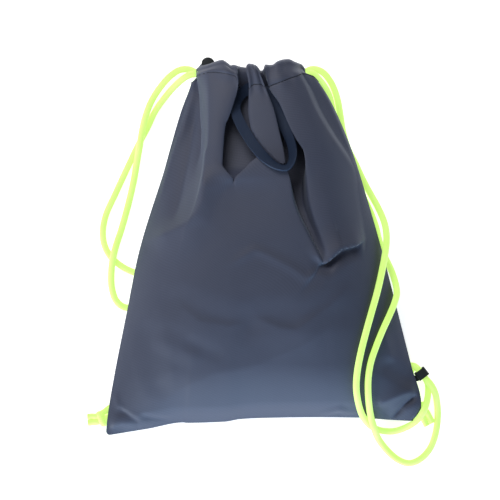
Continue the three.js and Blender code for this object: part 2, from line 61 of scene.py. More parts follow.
# Forms of the panels: a place is a share of a panel's height or of its half width
TUNNEL_START = 0.945  # where the tunnel is stitched
TUNNEL_ROUND = 4  # how far the fold stands out past the mouth
FLAP_OVERLAP = 2  # how far the flap reaches below the stitches
FRONT_FLAP_Z = 21.5
BACK_FLAP_Z = 13.4
CORNER_RADIUS = 5
CORNER_RISE = 3.5  # how far the bottom corners stand up
CORNER_SHARE = 0.14
CORNER_POWER = 8
BULGE_POWER = 3.2  # how square the front's cross sections are
FRONT_LOWEST = 12
GATHER_FROM = 0.35
GATHER_FULL = 0.95
STITCH_SHIFT_FROM = 0.6  # from here up the cloth follows the stitch line
MOUTH_DROP_FROM = TUNNEL_START + 0.012
SEAM_CLOSING = 0.4  # how far each panel's edge moves to the other at the side seams
SEAM_FROM = 0.96
BACK_FLAT_SHARE = 0.7
BACK_BOTTOM_SHARE = 0.09
BACK_TUNNEL = 20

# Cells of the cloth grids
CELLS_ACROSS = 200
CELLS_UP = 200
FOLD_CELLS = 8
FLAP_CELLS = 5

# The bag's outline and cross sections: thread and across are shares of the width, up is one of the height
BOTTOM_EDGE = {
    "across": (0, 0.05, 0.137, 0.248, 0.26, 0.382, 0.43, 0.51, 0.673, 0.815, 0.919, 1),
    "y": (-196.3, -193.5, -188.8, -182.5, -182.9, -181.6, -179, -177.7, -177, -177.6, -180, -181.5),
}
MOUTH_EDGE = {
    "thread": (0, 0.063, 0.1, 0.12, 0.135, 0.156, 0.2, 0.21, 0.235, 0.261, 0.28, 0.3, 0.333, 0.366, 0.405,
               0.44, 0.47, 0.52, 0.565, 0.62, 0.66, 0.7, 0.72, 0.738, 0.75, 0.762, 0.78, 0.803, 0.839,
               0.925, 0.98, 1),
    "y": (174, 176, 177, 178.6, 181.4, 183.4, 187, 187.3, 184.6, 181.6, 182.2, 181.6, 181, 179.6, 179.8,
          182, 183.3, 182.8, 181.4, 177.4, 175.6, 178, 182.4, 182, 182.4, 185.6, 187.6, 188.2, 185.4,
          182.4, 179.4, 178),
}
STITCH_EDGE = {
    "thread": (0, 0.06, 0.12, 0.16, 0.26, 0.3, 0.33, 0.37, 0.405, 0.45, 0.5, 0.56, 0.62, 0.66, 0.72, 0.8,
               0.9, 0.96, 1),
    "y": (168, 172, 175, 178.6, 174.6, 168.5, 166, 162, 161, 164.4, 166, 165, 161, 160, 163, 172,
          177, 175, 169),
}
MOUTH_DROP = {
    "thread": (0, 0.06, 0.16, 0.23, 0.31, 0.37, 0.5, 0.6, 0.74, 0.8, 0.853, 0.906, 0.97, 1),
    "z": (0, 3, 5, 5, 3, 1, 0, 0, 2, 4, 5, 6, 3, 0),
}
BACK_MOUTH_EDGE = {
    "thread": (0, 0.05, 0.13, 0.22, 0.38, 0.66, 0.86, 0.95, 1),
    "y": (180, 184.5, 186, 180, 178.5, 177, 186, 184, 178),
}
SECTIONS = {
    "up": (0, 0.05, 0.16, 0.35, 0.5, 0.73, 0.87, 0.945, 0.98, 1),
    "left": (-164.4, -162.4, -155.6, -141.5, -130, -103, -86, -75, -71.3, -69.2),
    "right": (158, 162, 151.5, 134, 120, 94.5, 72, 55, 43.5, 41.5),
    "seam": (11.7, 16, 19.2, 22, 23.2, 25.2, 27.2, 31.2, 31.8, 31.8),
    "back_seam": (9.3, 13.6, 16.8, 19.6, 20.8, 22.8, 20.8, 4, 1, 1),
    "bulge": (0, 19, 36.5, 45.5, 44, 35, 27, 21, 21, 20),
}
GATHERS = {
    "thread": (0, 0.1, 0.3, 0.37, 0.43, 0.56, 0.66, 0.74, 0.92, 1),
    "across": (0, 0.08, 0.38, 0.435, 0.5, 0.63, 0.667, 0.71, 0.94, 1),
}

# Ribs of the front: lines of the cloth that the pleats at the mouth are built on, from the body up to the
# mouth. "thread" is the rib's share of the panel's width. Where a rib lies under its neighbour, the cloth
# is folded over there. "lift" is the height over the bag's plain dome.
FRONT_RIBS = (
    {"name": "tuck left of the left pleat", "thread": 0.09,
     "y": (16, 35, 58, 79, 98, 131, 160, 178), "x": (-98, -90, -80, -72, -66, -64, -65, -67),
     "lift": (-1, -2, -3, -5, -8, -11, -11, -2)},
    {"name": "left pleat's left edge", "thread": 0.12,
     "y": (16, 35, 58, 79, 98, 108, 131, 157, 178),
     "x": (-84.8, -75.4, -68.1, -64.4, -63, -63.6, -65.4, -67, -70),
     "lift": (0.5, 1.5, 2, 1, -2, -4, -5.5, -5, -0.5)},
    {"name": "left pleat's crest", "thread": 0.15,
     "y": (16, 35, 58, 79, 95, 105, 126, 152, 178),
     "x": (-81, -72, -65.5, -61.5, -60, -57.6, -56.6, -56.6, -58),
     "lift": (1, 2.5, 4.5, 6.5, 7, 7.2, 7.2, 7, 4)},
    {"name": "left pleat's right edge", "thread": 0.3,
     "y": (40, 52, 61, 68, 76, 83, 91, 107, 123, 133, 148, 160, 168, 184),
     "x": (-46, -42, -37, -33, -39.5, -44, -43.7, -42.7, -41, -37, -32, -28.6, -27.6, -30),
     "lift": (0, 0.4, 1.2, 3, 5, 5, 5, 5, 5, 5, 5, 5, 5, 2)},
    {"name": "pocket under the left pleat", "thread": 0.335,
     "y": (40, 52, 61, 66, 70, 76, 83, 107, 133, 160, 181),
     "x": (-40, -37, -33.8, -32.5, -33.6, -42, -49, -49, -43, -33, -27),
     "lift": (0, 0.4, 1, 2, -4, -13, -17, -20, -21, -18, -10)},
    {"name": "pocket under the centre leaf", "thread": 0.375,
     "y": (40, 52, 61, 66, 70, 76, 83, 91, 105, 123, 140, 164, 181),
     "x": (-32, -31.4, -31, -31, -29.4, -20, -11, -4, -5, -10, -12, -13, -19),
     "lift": (0, 0.4, 1, 2, -4, -12, -16, -19, -21, -22, -22, -18, -8)},
    {"name": "centre leaf's left edge", "thread": 0.405,
     "y": (40, 52, 61, 68, 76, 84, 91, 105, 123, 140, 164, 184),
     "x": (-25, -26, -28, -30.2, -23, -15, -7.8, -9.9, -14, -16.1, -15.6, -19.5),
     "lift": (0, 0.4, 1.2, 3, 4, 4, 4, 4, 3, 3, 3, 2)},
    {"name": "centre leaf's right edge", "thread": 0.62,
     "y": (-14, 5, 18, 34, 48, 67, 84, 100, 118, 138, 154, 164, 182),
     "x": (55, 46, 40, 32.5, 28, 25.3, 21, 18.2, 14, 9.2, 3.6, -0.5, -7.5),
     "lift": (0, 0.5, 1, 1.5, 2.5, 4, 5, 5, 5, 5, 4, 3, 2)},
    {"name": "valley under the centre leaf", "thread": 0.65,
     "y": (-14, 5, 18, 34, 48, 67, 84, 118, 138, 164, 178),
     "x": (58, 49, 43, 35.5, 31, 26, 18, 9, 4, -4, -5),
     "lift": (-2, -8, -12, -17, -22, -27, -30, -31, -29, -18, -10)},
    {"name": "valley under the right pleat", "thread": 0.69,
     "y": (-14, 5, 18, 34, 48, 67, 84, 100, 118, 138, 164, 178),
     "x": (62, 54, 49, 43, 39.5, 39, 43, 43, 34, 24, 7, -2),
     "lift": (-1, -5, -9, -14, -19, -25, -29, -30, -31, -29, -18, -10)},
    {"name": "right pleat's left edge", "thread": 0.72,
     "y": (-14, 5, 18, 34, 48, 67, 84, 96, 110, 124, 147, 163, 184),
     "x": (68, 60, 55.5, 50, 46.5, 44, 42.5, 41, 32.6, 25.4, 15.2, 5, 0.8),
     "lift": (0, 0, 0, 0, 0.3, 1.5, 3.5, 4.5, 5, 5, 4.5, 3, 2)},
    {"name": "right pleat's back", "thread": 0.785,
     "y": (2, 23, 46, 58, 84, 93, 114, 141, 157, 180), "x": (80, 75, 69, 66, 64, 62.5, 50, 36, 27, 20),
     "lift": (2.5, 3.2, 3.4, 3.6, 4.2, 4.8, 5.6, 5.8, 5.4, 3)},
    {"name": "right pleat's crest", "thread": 0.85,
     "y": (-12, 2, 23, 46, 58, 70, 78, 84, 93, 114, 141, 157, 180),
     "x": (97, 98.8, 96, 92, 91, 91, 89.5, 86.5, 80.5, 66.5, 50.5, 43.6, 33),
     "lift": (0, 2, 1.5, 1, 1, 1, 1.4, 2, 3, 4.4, 4.8, 4.6, 3)},
    {"name": "tuck right of the right pleat", "thread": 0.9,
     "y": (-12, 2, 23, 46, 58, 70, 78, 84, 93, 114, 141, 157, 180),
     "x": (104, 104, 102, 98, 96.5, 95, 93.5, 91, 86.5, 73, 57.5, 50.5, 37.5),
     "lift": (0, 0, 0, 0, 0, 0, 0, -0.3, -0.8, -1.6, -2.4, -2.6, -2)},
)
RIB_FADE = 45  # below its lowest row a rib runs back to its plain place over this length
FRONT_DENTS = (  # soft dents and bumps along straight lines, each given as x, y, x, y
    {"name": "dent below the right pleat", "line": (58, -18, 92, -2), "half": 14, "height": -2},
    {"name": "left sag", "line": (-90, -58, -18, -80), "half": 24, "height": -1.2},
    {"name": "right sag", "line": (-6, -72, 82, -66), "half": 24, "height": -1.2},
    {"name": "left flank dip", "line": (-119, -92, -110, -142), "half": 20, "height": -1.2},
    {"name": "left flank bump", "line": (-103, -99, -75, -114), "half": 16, "height": 0.9},
    {"name": "dip beside it", "line": (-75, -100, -51, -110), "half": 12, "height": -0.6},
    {"name": "right flank dip", "line": (127, -124, 146, -136), "half": 14, "height": -2},
)

# Creases of the front along lines in plan. "left" and "right" are the half widths on either hand of
# somebody who walks along the line. A valley's height is negative.
FRONT_CREASES = (
    {"name": "left pleat's foot", "height": 5, "left": 17, "right": 36,
     "line": ((-124, 1), (-114.5, 6.8), (-99.4, 13.6), (-83, 21.8), (-70.6, 33), (-65, 45),
              (-62.6, 62), (-60.6, 86))},
    {"name": "left side seam", "height": 2.2, "left": 2.2, "right": 8,
     "line": ((-113, 42), (-109.6, 53.7), (-97.1, 88), (-85.5, 120), (-77.8, 146), (-70, 168))},
    {"name": "left flank valley", "height": -4.2, "left": 20, "right": 9,
     "line": ((-95, 20), (-86, 50), (-77, 95), (-72, 130), (-70, 152))},
    {"name": "right side crest", "height": 2, "left": 9, "right": 5,
     "line": ((94, 90), (78, 130), (62, 164))},
    {"name": "right pleat's side line", "height": 1, "left": 9, "right": 6,
     "line": ((97, 78), (88, 88), (78, 101), (69, 113))},
    {"name": "right pleat's foot", "height": 6, "left": 28, "right": 4, "lean": 5,
     "line": ((52.6, -20.3), (59.6, -14), (76, 1), (97.5, 6.4), (105, 7.8))},
    {"name": "dent under that foot", "height": -4, "left": 7, "right": 15,
     "line": ((56, -27), (65, -19), (80, -5), (100, -0.5))},
    {"name": "middle crest", "height": 1, "left": 9, "right": 9,
     "line": ((-41, -23), (-11, -4), (-3, -6), (24, -20), (42, -32), (60, -25), (66, -16))},
    {"name": "left sag", "height": 0.8, "left": 10, "right": 22,
     "line": ((-90, -51), (-84, -63), (-67, -77), (-38, -82), (-15, -79))},
    {"name": "right sag", "height": 1, "left": 10, "right": 26,
     "line": ((-12, -56), (-7, -75), (16, -84), (33, -86), (68, -61), (94, -35))},
    {"name": "lower shoulder", "height": 1.4, "left": 60, "right": 36,
     "line": ((-114, -171), (-104, -160), (-83, -145), (-52, -131), (-15, -124), (37, -103), (84, -72))},
    {"name": "corner valley", "height": -1.7, "left": 1.8, "right": 9,
     "line": ((-152, -165), (-146.7, -170), (-139.5, -175), (-131, -181), (-127, -184))},
    {"name": "bottom valley", "height": -2.2, "left": 3, "right": 8,
     "line": ((-131, -175), (-125, -175.6), (-108.6, -178), (-95, -181), (-82, -185))},
    {"name": "corner crest", "height": 2.4, "left": 16, "right": 9,
     "line": ((-164, -190), (-158, -187), (-151.7, -183), (-139.9, -184.7), (-121, -188), (-112, -189))},
    {"name": "left edge crest", "height": 0.8, "left": 6, "right": 5,
     "line": ((-155, -150), (-154.8, -156), (-150.3, -166.3), (-145, -173))},
    {"name": "right corner crest", "height": 3, "left": 18, "right": 8,
     "line": ((113, -167.5), (122, -162), (143, -152.5), (160, -147))},
    {"name": "right corner valley", "height": -4, "left": 3, "right": 7,
     "line": ((131, -183), (134, -176), (143, -165), (154, -156.5), (161, -153))},
    {"name": "right flank ridge", "height": 1.3, "left": 8, "right": 12,
     "line": ((121, -84), (125, -95), (129, -112), (131, -122))},
    {"name": "bottom bump", "height": 4, "left": 6, "right": 3,
     "line": ((50, -177), (57, -175.5), (78, -169.5), (86, -172.5), (98, -172))},
)
CREASE_ROUND = 1.2  # radius that softens a crease's line
CREASE_FADE = 0.22  # share of its length over which a crease fades at each end
CREASE_OFF_BOTTOM = 0.03  # share of the height, and of the half width, over which creases end at the seams
CREASE_OFF_SIDE = 0.05
LIP_WALL = 4  # cloth below a leaning crease that stands as its wall

# Gathers of the hem and of the back
HEM_PUCKERS = 13
HEM_PUCKER_HEIGHT = 0.8
HEM_PUCKER_FROM = 0.9
HEM_PUCKER_FULL = 0.96
HEM_STRAY = 3  # radians that the puckers stray from an even spacing
HEM_STRAY_RATE = 9
STITCH_GROOVE = 0.7  # depth, and half width as a share of the height
STITCH_GROOVE_WIDTH = 0.0024
STITCH_ROWS = (-0.0036, -0.0024, -0.0012, 0.0012, 0.0024, 0.0036)  # more rows of cloth at the stitches
BACK_RUFFLES = 8
BACK_RUFFLE_HEIGHT = 9
BACK_RUFFLE_FROM = 0.45
BACK_RUFFLE_FULL = 0.8
BACK_PRESS = 0.8  # share of the ruffles' height that is pressed flat at the tunnel
BACK_PRESS_FROM = 0.88

# How far the cords under the bag lift its back
CORD_LIFT = 7.7
CORD_LIFT_FULL = 17  # up to this distance from a cord
CORD_LIFT_GONE = 40
CORD_LOW = 5  # a cord below this height is under the bag or beside it

# Free strands of cord, from the tunnel to the corner knot
LEFT_FRONT_ROUTE = (
    (-71.6, 178, 26.2), (-79.6, 175.8, 25), (-92, 166.4, 18), (-103.5, 153.9, 9), (-113.9, 139.4, 4.2),
    (-121.2, 123.8, 3.3), (-131.6, 104, 3.3), (-143, 80.1, 3.3), (-155.5, 53, 3.3), (-164.8, 32.2, 3.3),
    (-168, 14.6, 3.3), (-165.9, 0, 3.3), (-158.6, -12.5, 3.3), (-147.2, -21.8, 3.3), (-133.6, -28.1, 3.3),
    (-105, -37, 3.3), (-70, -43, 3.3), (-30, -50, 3.3), (-14.5, -57, 3.3), (-5, -68, 3.3), (-1, -81, 3.3),
    (-2, -95, 3.3), (-8.5, -108, 3.3), (-20, -118, 3.3), (-55, -132, 3.3), (-90, -141, 3.3),
    (-115, -148, 3.3), (-132.5, -156.8, 4.2), (-145, -165.7, 5), (-153, -171.3, 5), (-162.4, -177.9, 5),
)
LEFT_BACK_ROUTE = (
    (-60, 178, 8.7), (-70, 179.8, 8.9), (-79, 183.3, 9.5), (-88, 182.6, 10.2), (-97.5, 176.5, 10.6),
    (-107.6, 165.4, 10.6), (-117, 150.8, 10.6), (-123.2, 135.2, 10.4), (-126.9, 119.6, 10.3),
    (-129.5, 104, 10), (-132.6, 86.3, 7.6), (-135.7, 68.6, 4), (-140.9, 45.8, 3.3), (-148.2, 18.7, 5.5),
    (-154.4, -1, 10), (-157.6, -14.6, 10.4), (-159.1, -29.1, 7.6), (-158.6, -43.7, 3.9),
    (-154.4, -56.2, 3.3), (-147.2, -62.9, 3.3), (-137.8, -64.5, 3.3), (-110, -62, 3.3), (-75, -62, 3.3),
    (-42, -68, 3.3), (-30.5, -74.5, 3.3), (-24, -84, 3.3), (-24, -95, 3.3), (-30, -104, 3.3),
    (-42, -111, 3.3), (-58, -117, 3.3), (-95, -127, 3.3), (-118, -138, 3.3), (-136.5, -151.2, 4.2),
    (-149, -160, 5), (-157, -165.7, 5), (-165, -171.4, 5),
)
RIGHT_FRONT_ROUTE = (
    (42.5, 177, 26.2), (49, 178.5, 25), (56.7, 172, 19), (64.5, 161.5, 10), (68.6, 150.8, 5),
    (71, 138.3, 3.3), (73, 122.7, 3.3), (77, 106.1, 3.3), (84.4, 89.4, 3.3), (93.4, 70.7, 3.3),
    (102, 52, 3.3), (110, 35.4, 3.3), (115.5, 20.8, 3.3), (118.5, 8.3, 3.3), (122, -4.2, 3.3),
    (127.4, -16.1, 4.5), (132.6, -28.1, 10), (136.2, -41.6, 19.5), (136.7, -49.5, 25.5), (134.6, -57.5, 29),
    (129.5, -69.7, 34.5), (121.7, -86.3, 40.5), (114.4, -104, 44.8), (109.2, -119.6, 46),
    (106.6, -136.2, 44.4), (106.6, -151.8, 39.5), (108.4, -168.5, 29), (110.5, -179, 23.5), (113, -187, 20),
    (118, -199.7, 8.5), (127.4, -212.2, 3.6), (138.8, -222, 3.3), (150.3, -225.7, 3.3),
    (161.7, -221.5, 3.3), (172.1, -210.1, 3.3), (177.8, -194.5, 3.3), (180, -176.8, 3.3),
    (179.2, -163, 5.5), (176.6, -151.5, 10.2), (172.2, -143.4, 12.2), (166.8, -137.4, 12.2),
    (163, -132.5, 12.2), (159.2, -127.6, 12.2), (154.8, -124.4, 11.8), (149.8, -124.6, 10),
    (146, -128.4, 7), (144.4, -134.5, 4.4), (144, -142, 3.3), (144, -150, 3.3), (144.2, -158, 3.3),
    (145.6, -165.4, 3.3), (149.6, -170.6, 3.6), (155.8, -172.5, 4.4),
)
RIGHT_BACK_ROUTE = (
    (34, 178, 8.7), (42, 180.5, 8.8), (49.5, 183.5, 8.6), (59.5, 181, 8), (69.2, 169.5, 6),
    (75.4, 153.9, 4.4), (78.5, 137.3, 3.3), (81.1, 120.6, 3.3), (86.3, 101.9, 3.3), (94.2, 86.3, 3.3),
    (102.4, 68.6, 3.3), (110.2, 54.1, 3.3), (118.6, 38.5, 6), (124.3, 23.9, 13), (126.2, 9.4, 21),
    (125, -5.2, 28), (121.2, -25, 34), (116, -46.8, 42), (109.7, -68.6, 47.8), (103.5, -90.5, 51.3),
    (98.3, -111.3, 51.7), (95, -130, 49.7), (94.2, -145.6, 45), (96.2, -160.2, 37.6), (100.4, -173.7, 26.3),
    (105, -181, 17), (111.5, -187.5, 9.8), (122.2, -191.9, 4.5), (134.7, -192.4, 3.3), (147.2, -188.2, 6),
    (157.6, -181, 13), (165.4, -169.5, 16.6), (168.8, -159, 10.2), (170, -150.5, 5.6), (169.6, -143, 5.1),
    (166.8, -137.4, 5.1), (163, -132.5, 5.1), (159.2, -127.6, 5.1), (156, -126.2, 4.8), (153, -127.8, 4.2),
    (151.6, -132, 3.6), (152, -137.5, 3.3), (153.6, -143.5, 3.3), (155.6, -149.5, 3.3), (157.2, -155, 3.4),
    (158.8, -163, 4.2),
)
STRANDS = {
    "left_front_strand": LEFT_FRONT_ROUTE,
    "left_back_strand": LEFT_BACK_ROUTE,
    "right_front_strand": RIGHT_FRONT_ROUTE,
    "right_back_strand": RIGHT_BACK_ROUTE,
}

# The cords' hidden runs inside the tunnels
CORD_RUNS = {
    "front_cord_run": (
        (-69.8, 178, 26.2), (-45, 175, 26.2), (-20, 172, 26.2), (10, 171.5, 26.2), (41.2, 177, 26.2),
    ),
    "back_cord_run": ((-59, 178, 8.7), (-30, 173.5, 8.7), (5, 172.5, 8.7), (32.8, 178, 8.7)),
}
CORD_STEP = 2.2  # length of one stretch of a drawn cord
CORD_DRAWN = 7  # a drawn cord has few sides, so it is a little thicker
CORD_ROUNDNESS = 3
CURVE_CELLS = 20  # between two points of a route
STRANDS_ON_FRONT = ("right_front_strand", "right_back_strand")
ON_FRONT = 13  # above this height a cord lies on the front
PRESS_STEP = 1.2
REST_GAP = 0.15
FOLDED_OVER = 3  # cloth higher than this above a strip is a pleat that covers it

# The carry handle's centre line, with the angle at which its webbing stands up from the cloth
HANDLE = {
    "x": (-14, -22.4, -28.6, -30.2, -25.5, -17.2, -7.8, 2.6, 13, 22.4, 27.4, 28.6, 26.4, 21.8, 15.6, 9.6, 5,
          3),
    "y": (164, 158, 150, 139.4, 126.9, 112.3, 98.8, 87.9, 81.1, 80.1, 86.3, 96.7, 108.2, 119.6, 132.1, 144.6,
          156, 164),
    "z": (36, 39, 44, 50, 56.5, 60, 64, 66.5, 68, 67, 64, 59.5, 54, 50, 47.5, 46, 45, 44),
    "tilt": (5, 15, 22, 22, 18, 15, 18, 24, 42, 58, 60, 48, 38, 18, 5, 0, 0, 0),
}
HANDLE_CELLS_ACROSS = 6
HANDLE_STEP = 1.5

# Webbing loops round the strands, and the strip that leads the right one to the side seam
SIDE_LOOPS = {
    "left_side_loop": {"x": -150.9, "y": -165.6, "heading": 215.3, "width": 15.4, "height": 7.2},
    "right_side_loop": {"x": 163, "y": -132.5, "heading": 128, "width": 9.6, "height": 14.8},
}
LOOP_LENGTH = 9.5
LOOP_WALL = 1.4
LOOP_ROUND = 2.2
LOOP_ROUND_CELLS = 5
TONGUE = {"x": 156.4, "y": -137.2, "z": 12.5, "length": 7, "width": 6}
TONGUE_SOFT = 0.4  # bevel of its edges, as a share of its thickness
SOFT_CELLS = 2  # across the bevel of a soft edge

# Knots: where they lie, which way their cut ends point, how far those reach, and the strands tied there
KNOTS = {
    "left_knot": {"x": -170.4, "y": -179.6, "z": 5.8, "heading": 184, "reach": 13.4,
                  "strands": ("left_front_strand", "left_back_strand")},
    "right_knot": {"x": 164, "y": -170.6, "z": 5.8, "heading": -62, "reach": 16.6,
                   "strands": ("right_back_strand", "right_front_strand")},
}
KNOT_CORE_DIAMETER = 6.4
KNOT_CORE_APART = 3
KNOT_CORE = {"along": (3, 9), "spread": (1, 1.05, 1.1), "z": (-0.2, -1.6, -1.9)}  # the last at the reach
KNOT_STEP = 1
KNOT_WRAP = {"from": -4.9, "to": 2.1, "across": 4.4, "up": 1.5, "diameter": 8.2, "points": 60}

# Black tab behind the mouth's left end, with its bevels as shares of its width and thickness
TAB = {"x": -58.6, "y_from": 176, "y_to": 195.4, "z": 16.3, "width": 13.6, "thickness": 3}
TAB_ROUND = 0.48
TAB_ROUND_CELLS = 10
TAB_SOFT = 0.3

# Sewing thread of the tunnels
STITCH_PITCH = 3.1
STITCH_LENGTH = 2.8
STITCH_DIAMETER = 1.1
STITCH_SIDES = 6
STITCH_INSET = 0.22  # of its ends, as a share of its diameter
STITCH_HEIGHT = 0.55  # of its middle over the cloth's middle, as a share of the cloth's thickness
STITCH_SHORTEST = 0.25  # least share of its length that a stitch keeps in gathered cloth

# Angles in degrees up to which neighbouring faces look like one round surface
SOFT_ANGLE = 50
BLOCK_ANGLE = 40
STITCH_ANGLE = 60

# Picking edges and faces: least share of a direction along an axis, and a corner's tolerance in metres
STRAIGHT = 0.99
FACING = 0.9
CORNER_NEAR = 0.0001

# Weaves: pitches in metres, and scales of the noise that breaks them up
TWILL_PITCH = 0.0011
WARP_PITCH = 0.00055
WALE_PITCH = 0.0026
CLOUD_SCALE = 45.0
MOTTLE_SCALE = 1400.0
BRAID_PITCH = 0.004
BRAID_STRANDS = 8
CORD_FIBRE_SCALE = 900.0
RIB_PITCH = 0.0012
HERRINGBONE_PITCH = 0.0016
WEBBING_FIBRE_SCALE = 1200.0

# Stage and lights, in metres and watts
FLOOR_SIZE = 12
CAMERA_REACH = 50
SKY_STRENGTH = 0.25
LIGHTS = {
    "left_light": {"place": (-1.6, -1.9, 0.5), "size": 1.2, "power": 68, "colour": (0.86, 0.94, 1.0)},
    "lower_light": {"place": (0.2, -2.4, 0.6), "size": 1.3, "power": 35, "colour": (0.5, 0.72, 1.0)},
    "right_light": {"place": (1.5, -1.9, 0.5), "size": 1.2, "power": 23, "colour": (0.44, 0.74, 1.0)},
    "top_light": {"place": (-0.3, 0.6, 0.75), "size": 0.6, "power": 5.4, "colour": (1.0, 0.98, 1.0)},
}


def smoothstep(start, end, value):
    t = np.clip((value - start) / (end - start), 0, 1)
    return t * t * (3 - 2 * t)


def along(table, key, column, places):
    """A table's column at places along its key column: smooth, and never past its rows."""
    keys = np.array(table[key], float)
    values = np.array(table[column], float)
    rise = np.diff(values) / np.diff(keys)
    before = rise[:-1]
    after = rise[1:]
    one_way = before * after > 0
    inner = np.where(one_way, 2 * before * after / np.where(one_way, before + after, 1), 0)
    slope = np.concatenate([rise[:1], inner, rise[-1:]])
    at = np.clip(places, keys[0], keys[-1])
    i = np.clip(np.searchsorted(keys, at) - 1, 0, len(keys) - 2)
    span = keys[i + 1] - keys[i]
    t = (at - keys[i]) / span
    s = 1 - t
    start = values[i] * (1 + 2 * t) * s * s + slope[i] * span * t * s * s
    end = values[i + 1] * (3 - 2 * t) * t * t - slope[i + 1] * span * t * t * s
    return start + end


def section(column, up):
    return along(SECTIONS, "up", column, up)


def hump(distance, half):
    """A fold's smooth cross section: 1 at its line, 0 from its half width on."""
    return 1 - smoothstep(0, half, np.abs(distance))


def distance_to_segment(x, y, x0, y0, x1, y1):
    dx = x1 - x0
    dy = y1 - y0
    t = np.clip(((x - x0) * dx + (y - y0) * dy) / (dx * dx + dy * dy), 0, 1)
    return np.hypot(x - x0 - t * dx, y - y0 - t * dy)


def crease(x, y, row):
    """Height that a crease adds, and how far it moves the cloth in plan: a sharp line with a smooth foot on
    either hand, fading at its ends. A crease that leans moves its left hand over its right."""
    points = row["line"]
    lengths = [math.dist(a, b) for a, b in zip(points, points[1:])]
    total = sum(lengths)
    nearest = np.full(x.shape, np.inf)
    share = np.zeros(x.shape)
    side = np.zeros(x.shape)
    right_x = np.zeros(x.shape)
    right_y = np.zeros(x.shape)
    walked = 0
    for (x0, y0), (x1, y1), length in zip(points, points[1:], lengths):
        dx = (x1 - x0) / length
        dy = (y1 - y0) / length
        ahead = np.clip((x - x0) * dx + (y - y0) * dy, 0, length)
        away = np.hypot(x - x0 - ahead * dx, y - y0 - ahead * dy)
        closer = away < nearest
        nearest = np.where(closer, away, nearest)
        share = np.where(closer, (walked + ahead) / total, share)
        side = np.where(closer, dx * (y - y0) - dy * (x - x0), side)
        right_x = np.where(closer, dy, right_x)
        right_y = np.where(closer, -dx, right_y)
        walked += length
    half = np.where(side > 0, row["left"], row["right"])
    rounded = np.sqrt(nearest ** 2 + CREASE_ROUND ** 2) - CREASE_ROUND
    tent = np.clip(1 - rounded / half, 0, 1)
    fade = smoothstep(0, CREASE_FADE, share) * smoothstep(0, CREASE_FADE, 1 - share)
    lip = np.where(side > 0, np.exp(-(nearest / row["left"]) ** 2), 1 - smoothstep(0, LIP_WALL, nearest))
    lean = row.get("lean", 0) * lip * fade
    return row["height"] * tent ** 2 * fade, right_x * lean, right_y * lean


def plan_of(thread, up, stitch_y, mouth_y):
    """Plan position of a thread at a height share, and how far across its section it lies, from -1 to 1."""
    gathered = along(GATHERS, "thread", "across", thread)
    across = thread + (gathered - thread) * smoothstep(GATHER_FROM, GATHER_FULL, up)
    left = section("left", up)
    right = section("right", up)
    bottom = along(BOTTOM_EDGE, "across", "y", thread)
    plain = bottom + (mouth_y - bottom) * up
    plain_stitch = bottom + (mouth_y - bottom) * TUNNEL_START
    below = plain + (stitch_y - plain_stitch) * smoothstep(STITCH_SHIFT_FROM, TUNNEL_START, up)
    hem = stitch_y + (mouth_y - stitch_y) * (up - TUNNEL_START) / (1 - TUNNEL_START)
    return left + (right - left) * across, np.where(up < TUNNEL_START, below, hem), 2 * across - 1


def round_corners(thread, up):
    """Moves grid places near the two bottom corners so that the corners become round."""
    across = np.minimum(thread, 1 - thread) * PANEL_WIDTH
    rise = up * PANEL_LENGTH
    to_side = np.clip(CORNER_RADIUS - across, 0, None)
    to_bottom = np.clip(CORNER_RADIUS - rise, 0, None)
    reach = np.hypot(to_side, to_bottom)
    drawn = np.where(reach > 0, np.maximum(to_side, to_bottom) / np.where(reach > 0, reach, 1), 1)
    new_across = np.where(to_side > 0, CORNER_RADIUS - to_side * drawn, across) / PANEL_WIDTH
    new_up = np.where(to_bottom > 0, CORNER_RADIUS - to_bottom * drawn, rise) / PANEL_LENGTH
    return np.where(thread < 0.5, new_across, 1 - new_across), new_up


def corner_rise(side, up):
    return CORNER_RISE * np.abs(side) ** CORNER_POWER * (1 - smoothstep(0, CORNER_SHARE, up))


def front_plan(thread, up):
    """Plan position of the front's threads along one row of its grid, and their lift over the plain dome."""
    stitch_y = along(STITCH_EDGE, "thread", "y", thread)
    mouth_y = along(MOUTH_EDGE, "thread", "y", thread)
    y = plan_of(thread, up, stitch_y, mouth_y)[1]
    row_up = np.array([up.max()])
    threads = [0]
    places = [section("left", row_up)[0]]
    lifts = [0]
    right = section("right", row_up)[0]
    for rib in FRONT_RIBS:
        at = np.array([rib["thread"]])
        rib_y = np.interp(at, thread, y)
        plain = places[0] + (right - places[0]) * rib["thread"]
        reach = smoothstep(rib["y"][0] - RIB_FADE, rib["y"][0], rib_y)[0]
        threads.append(rib["thread"])
        places.append(plain + (along(rib, "y", "x", rib_y)[0] - plain) * reach)
        lifts.append(along(rib, "y", "lift", rib_y)[0] * reach)
    line = {"thread": (*threads, 1), "x": (*places, right), "lift": (*lifts, 0)}
    return along(line, "thread", "x", thread), y, along(line, "thread", "lift", thread)


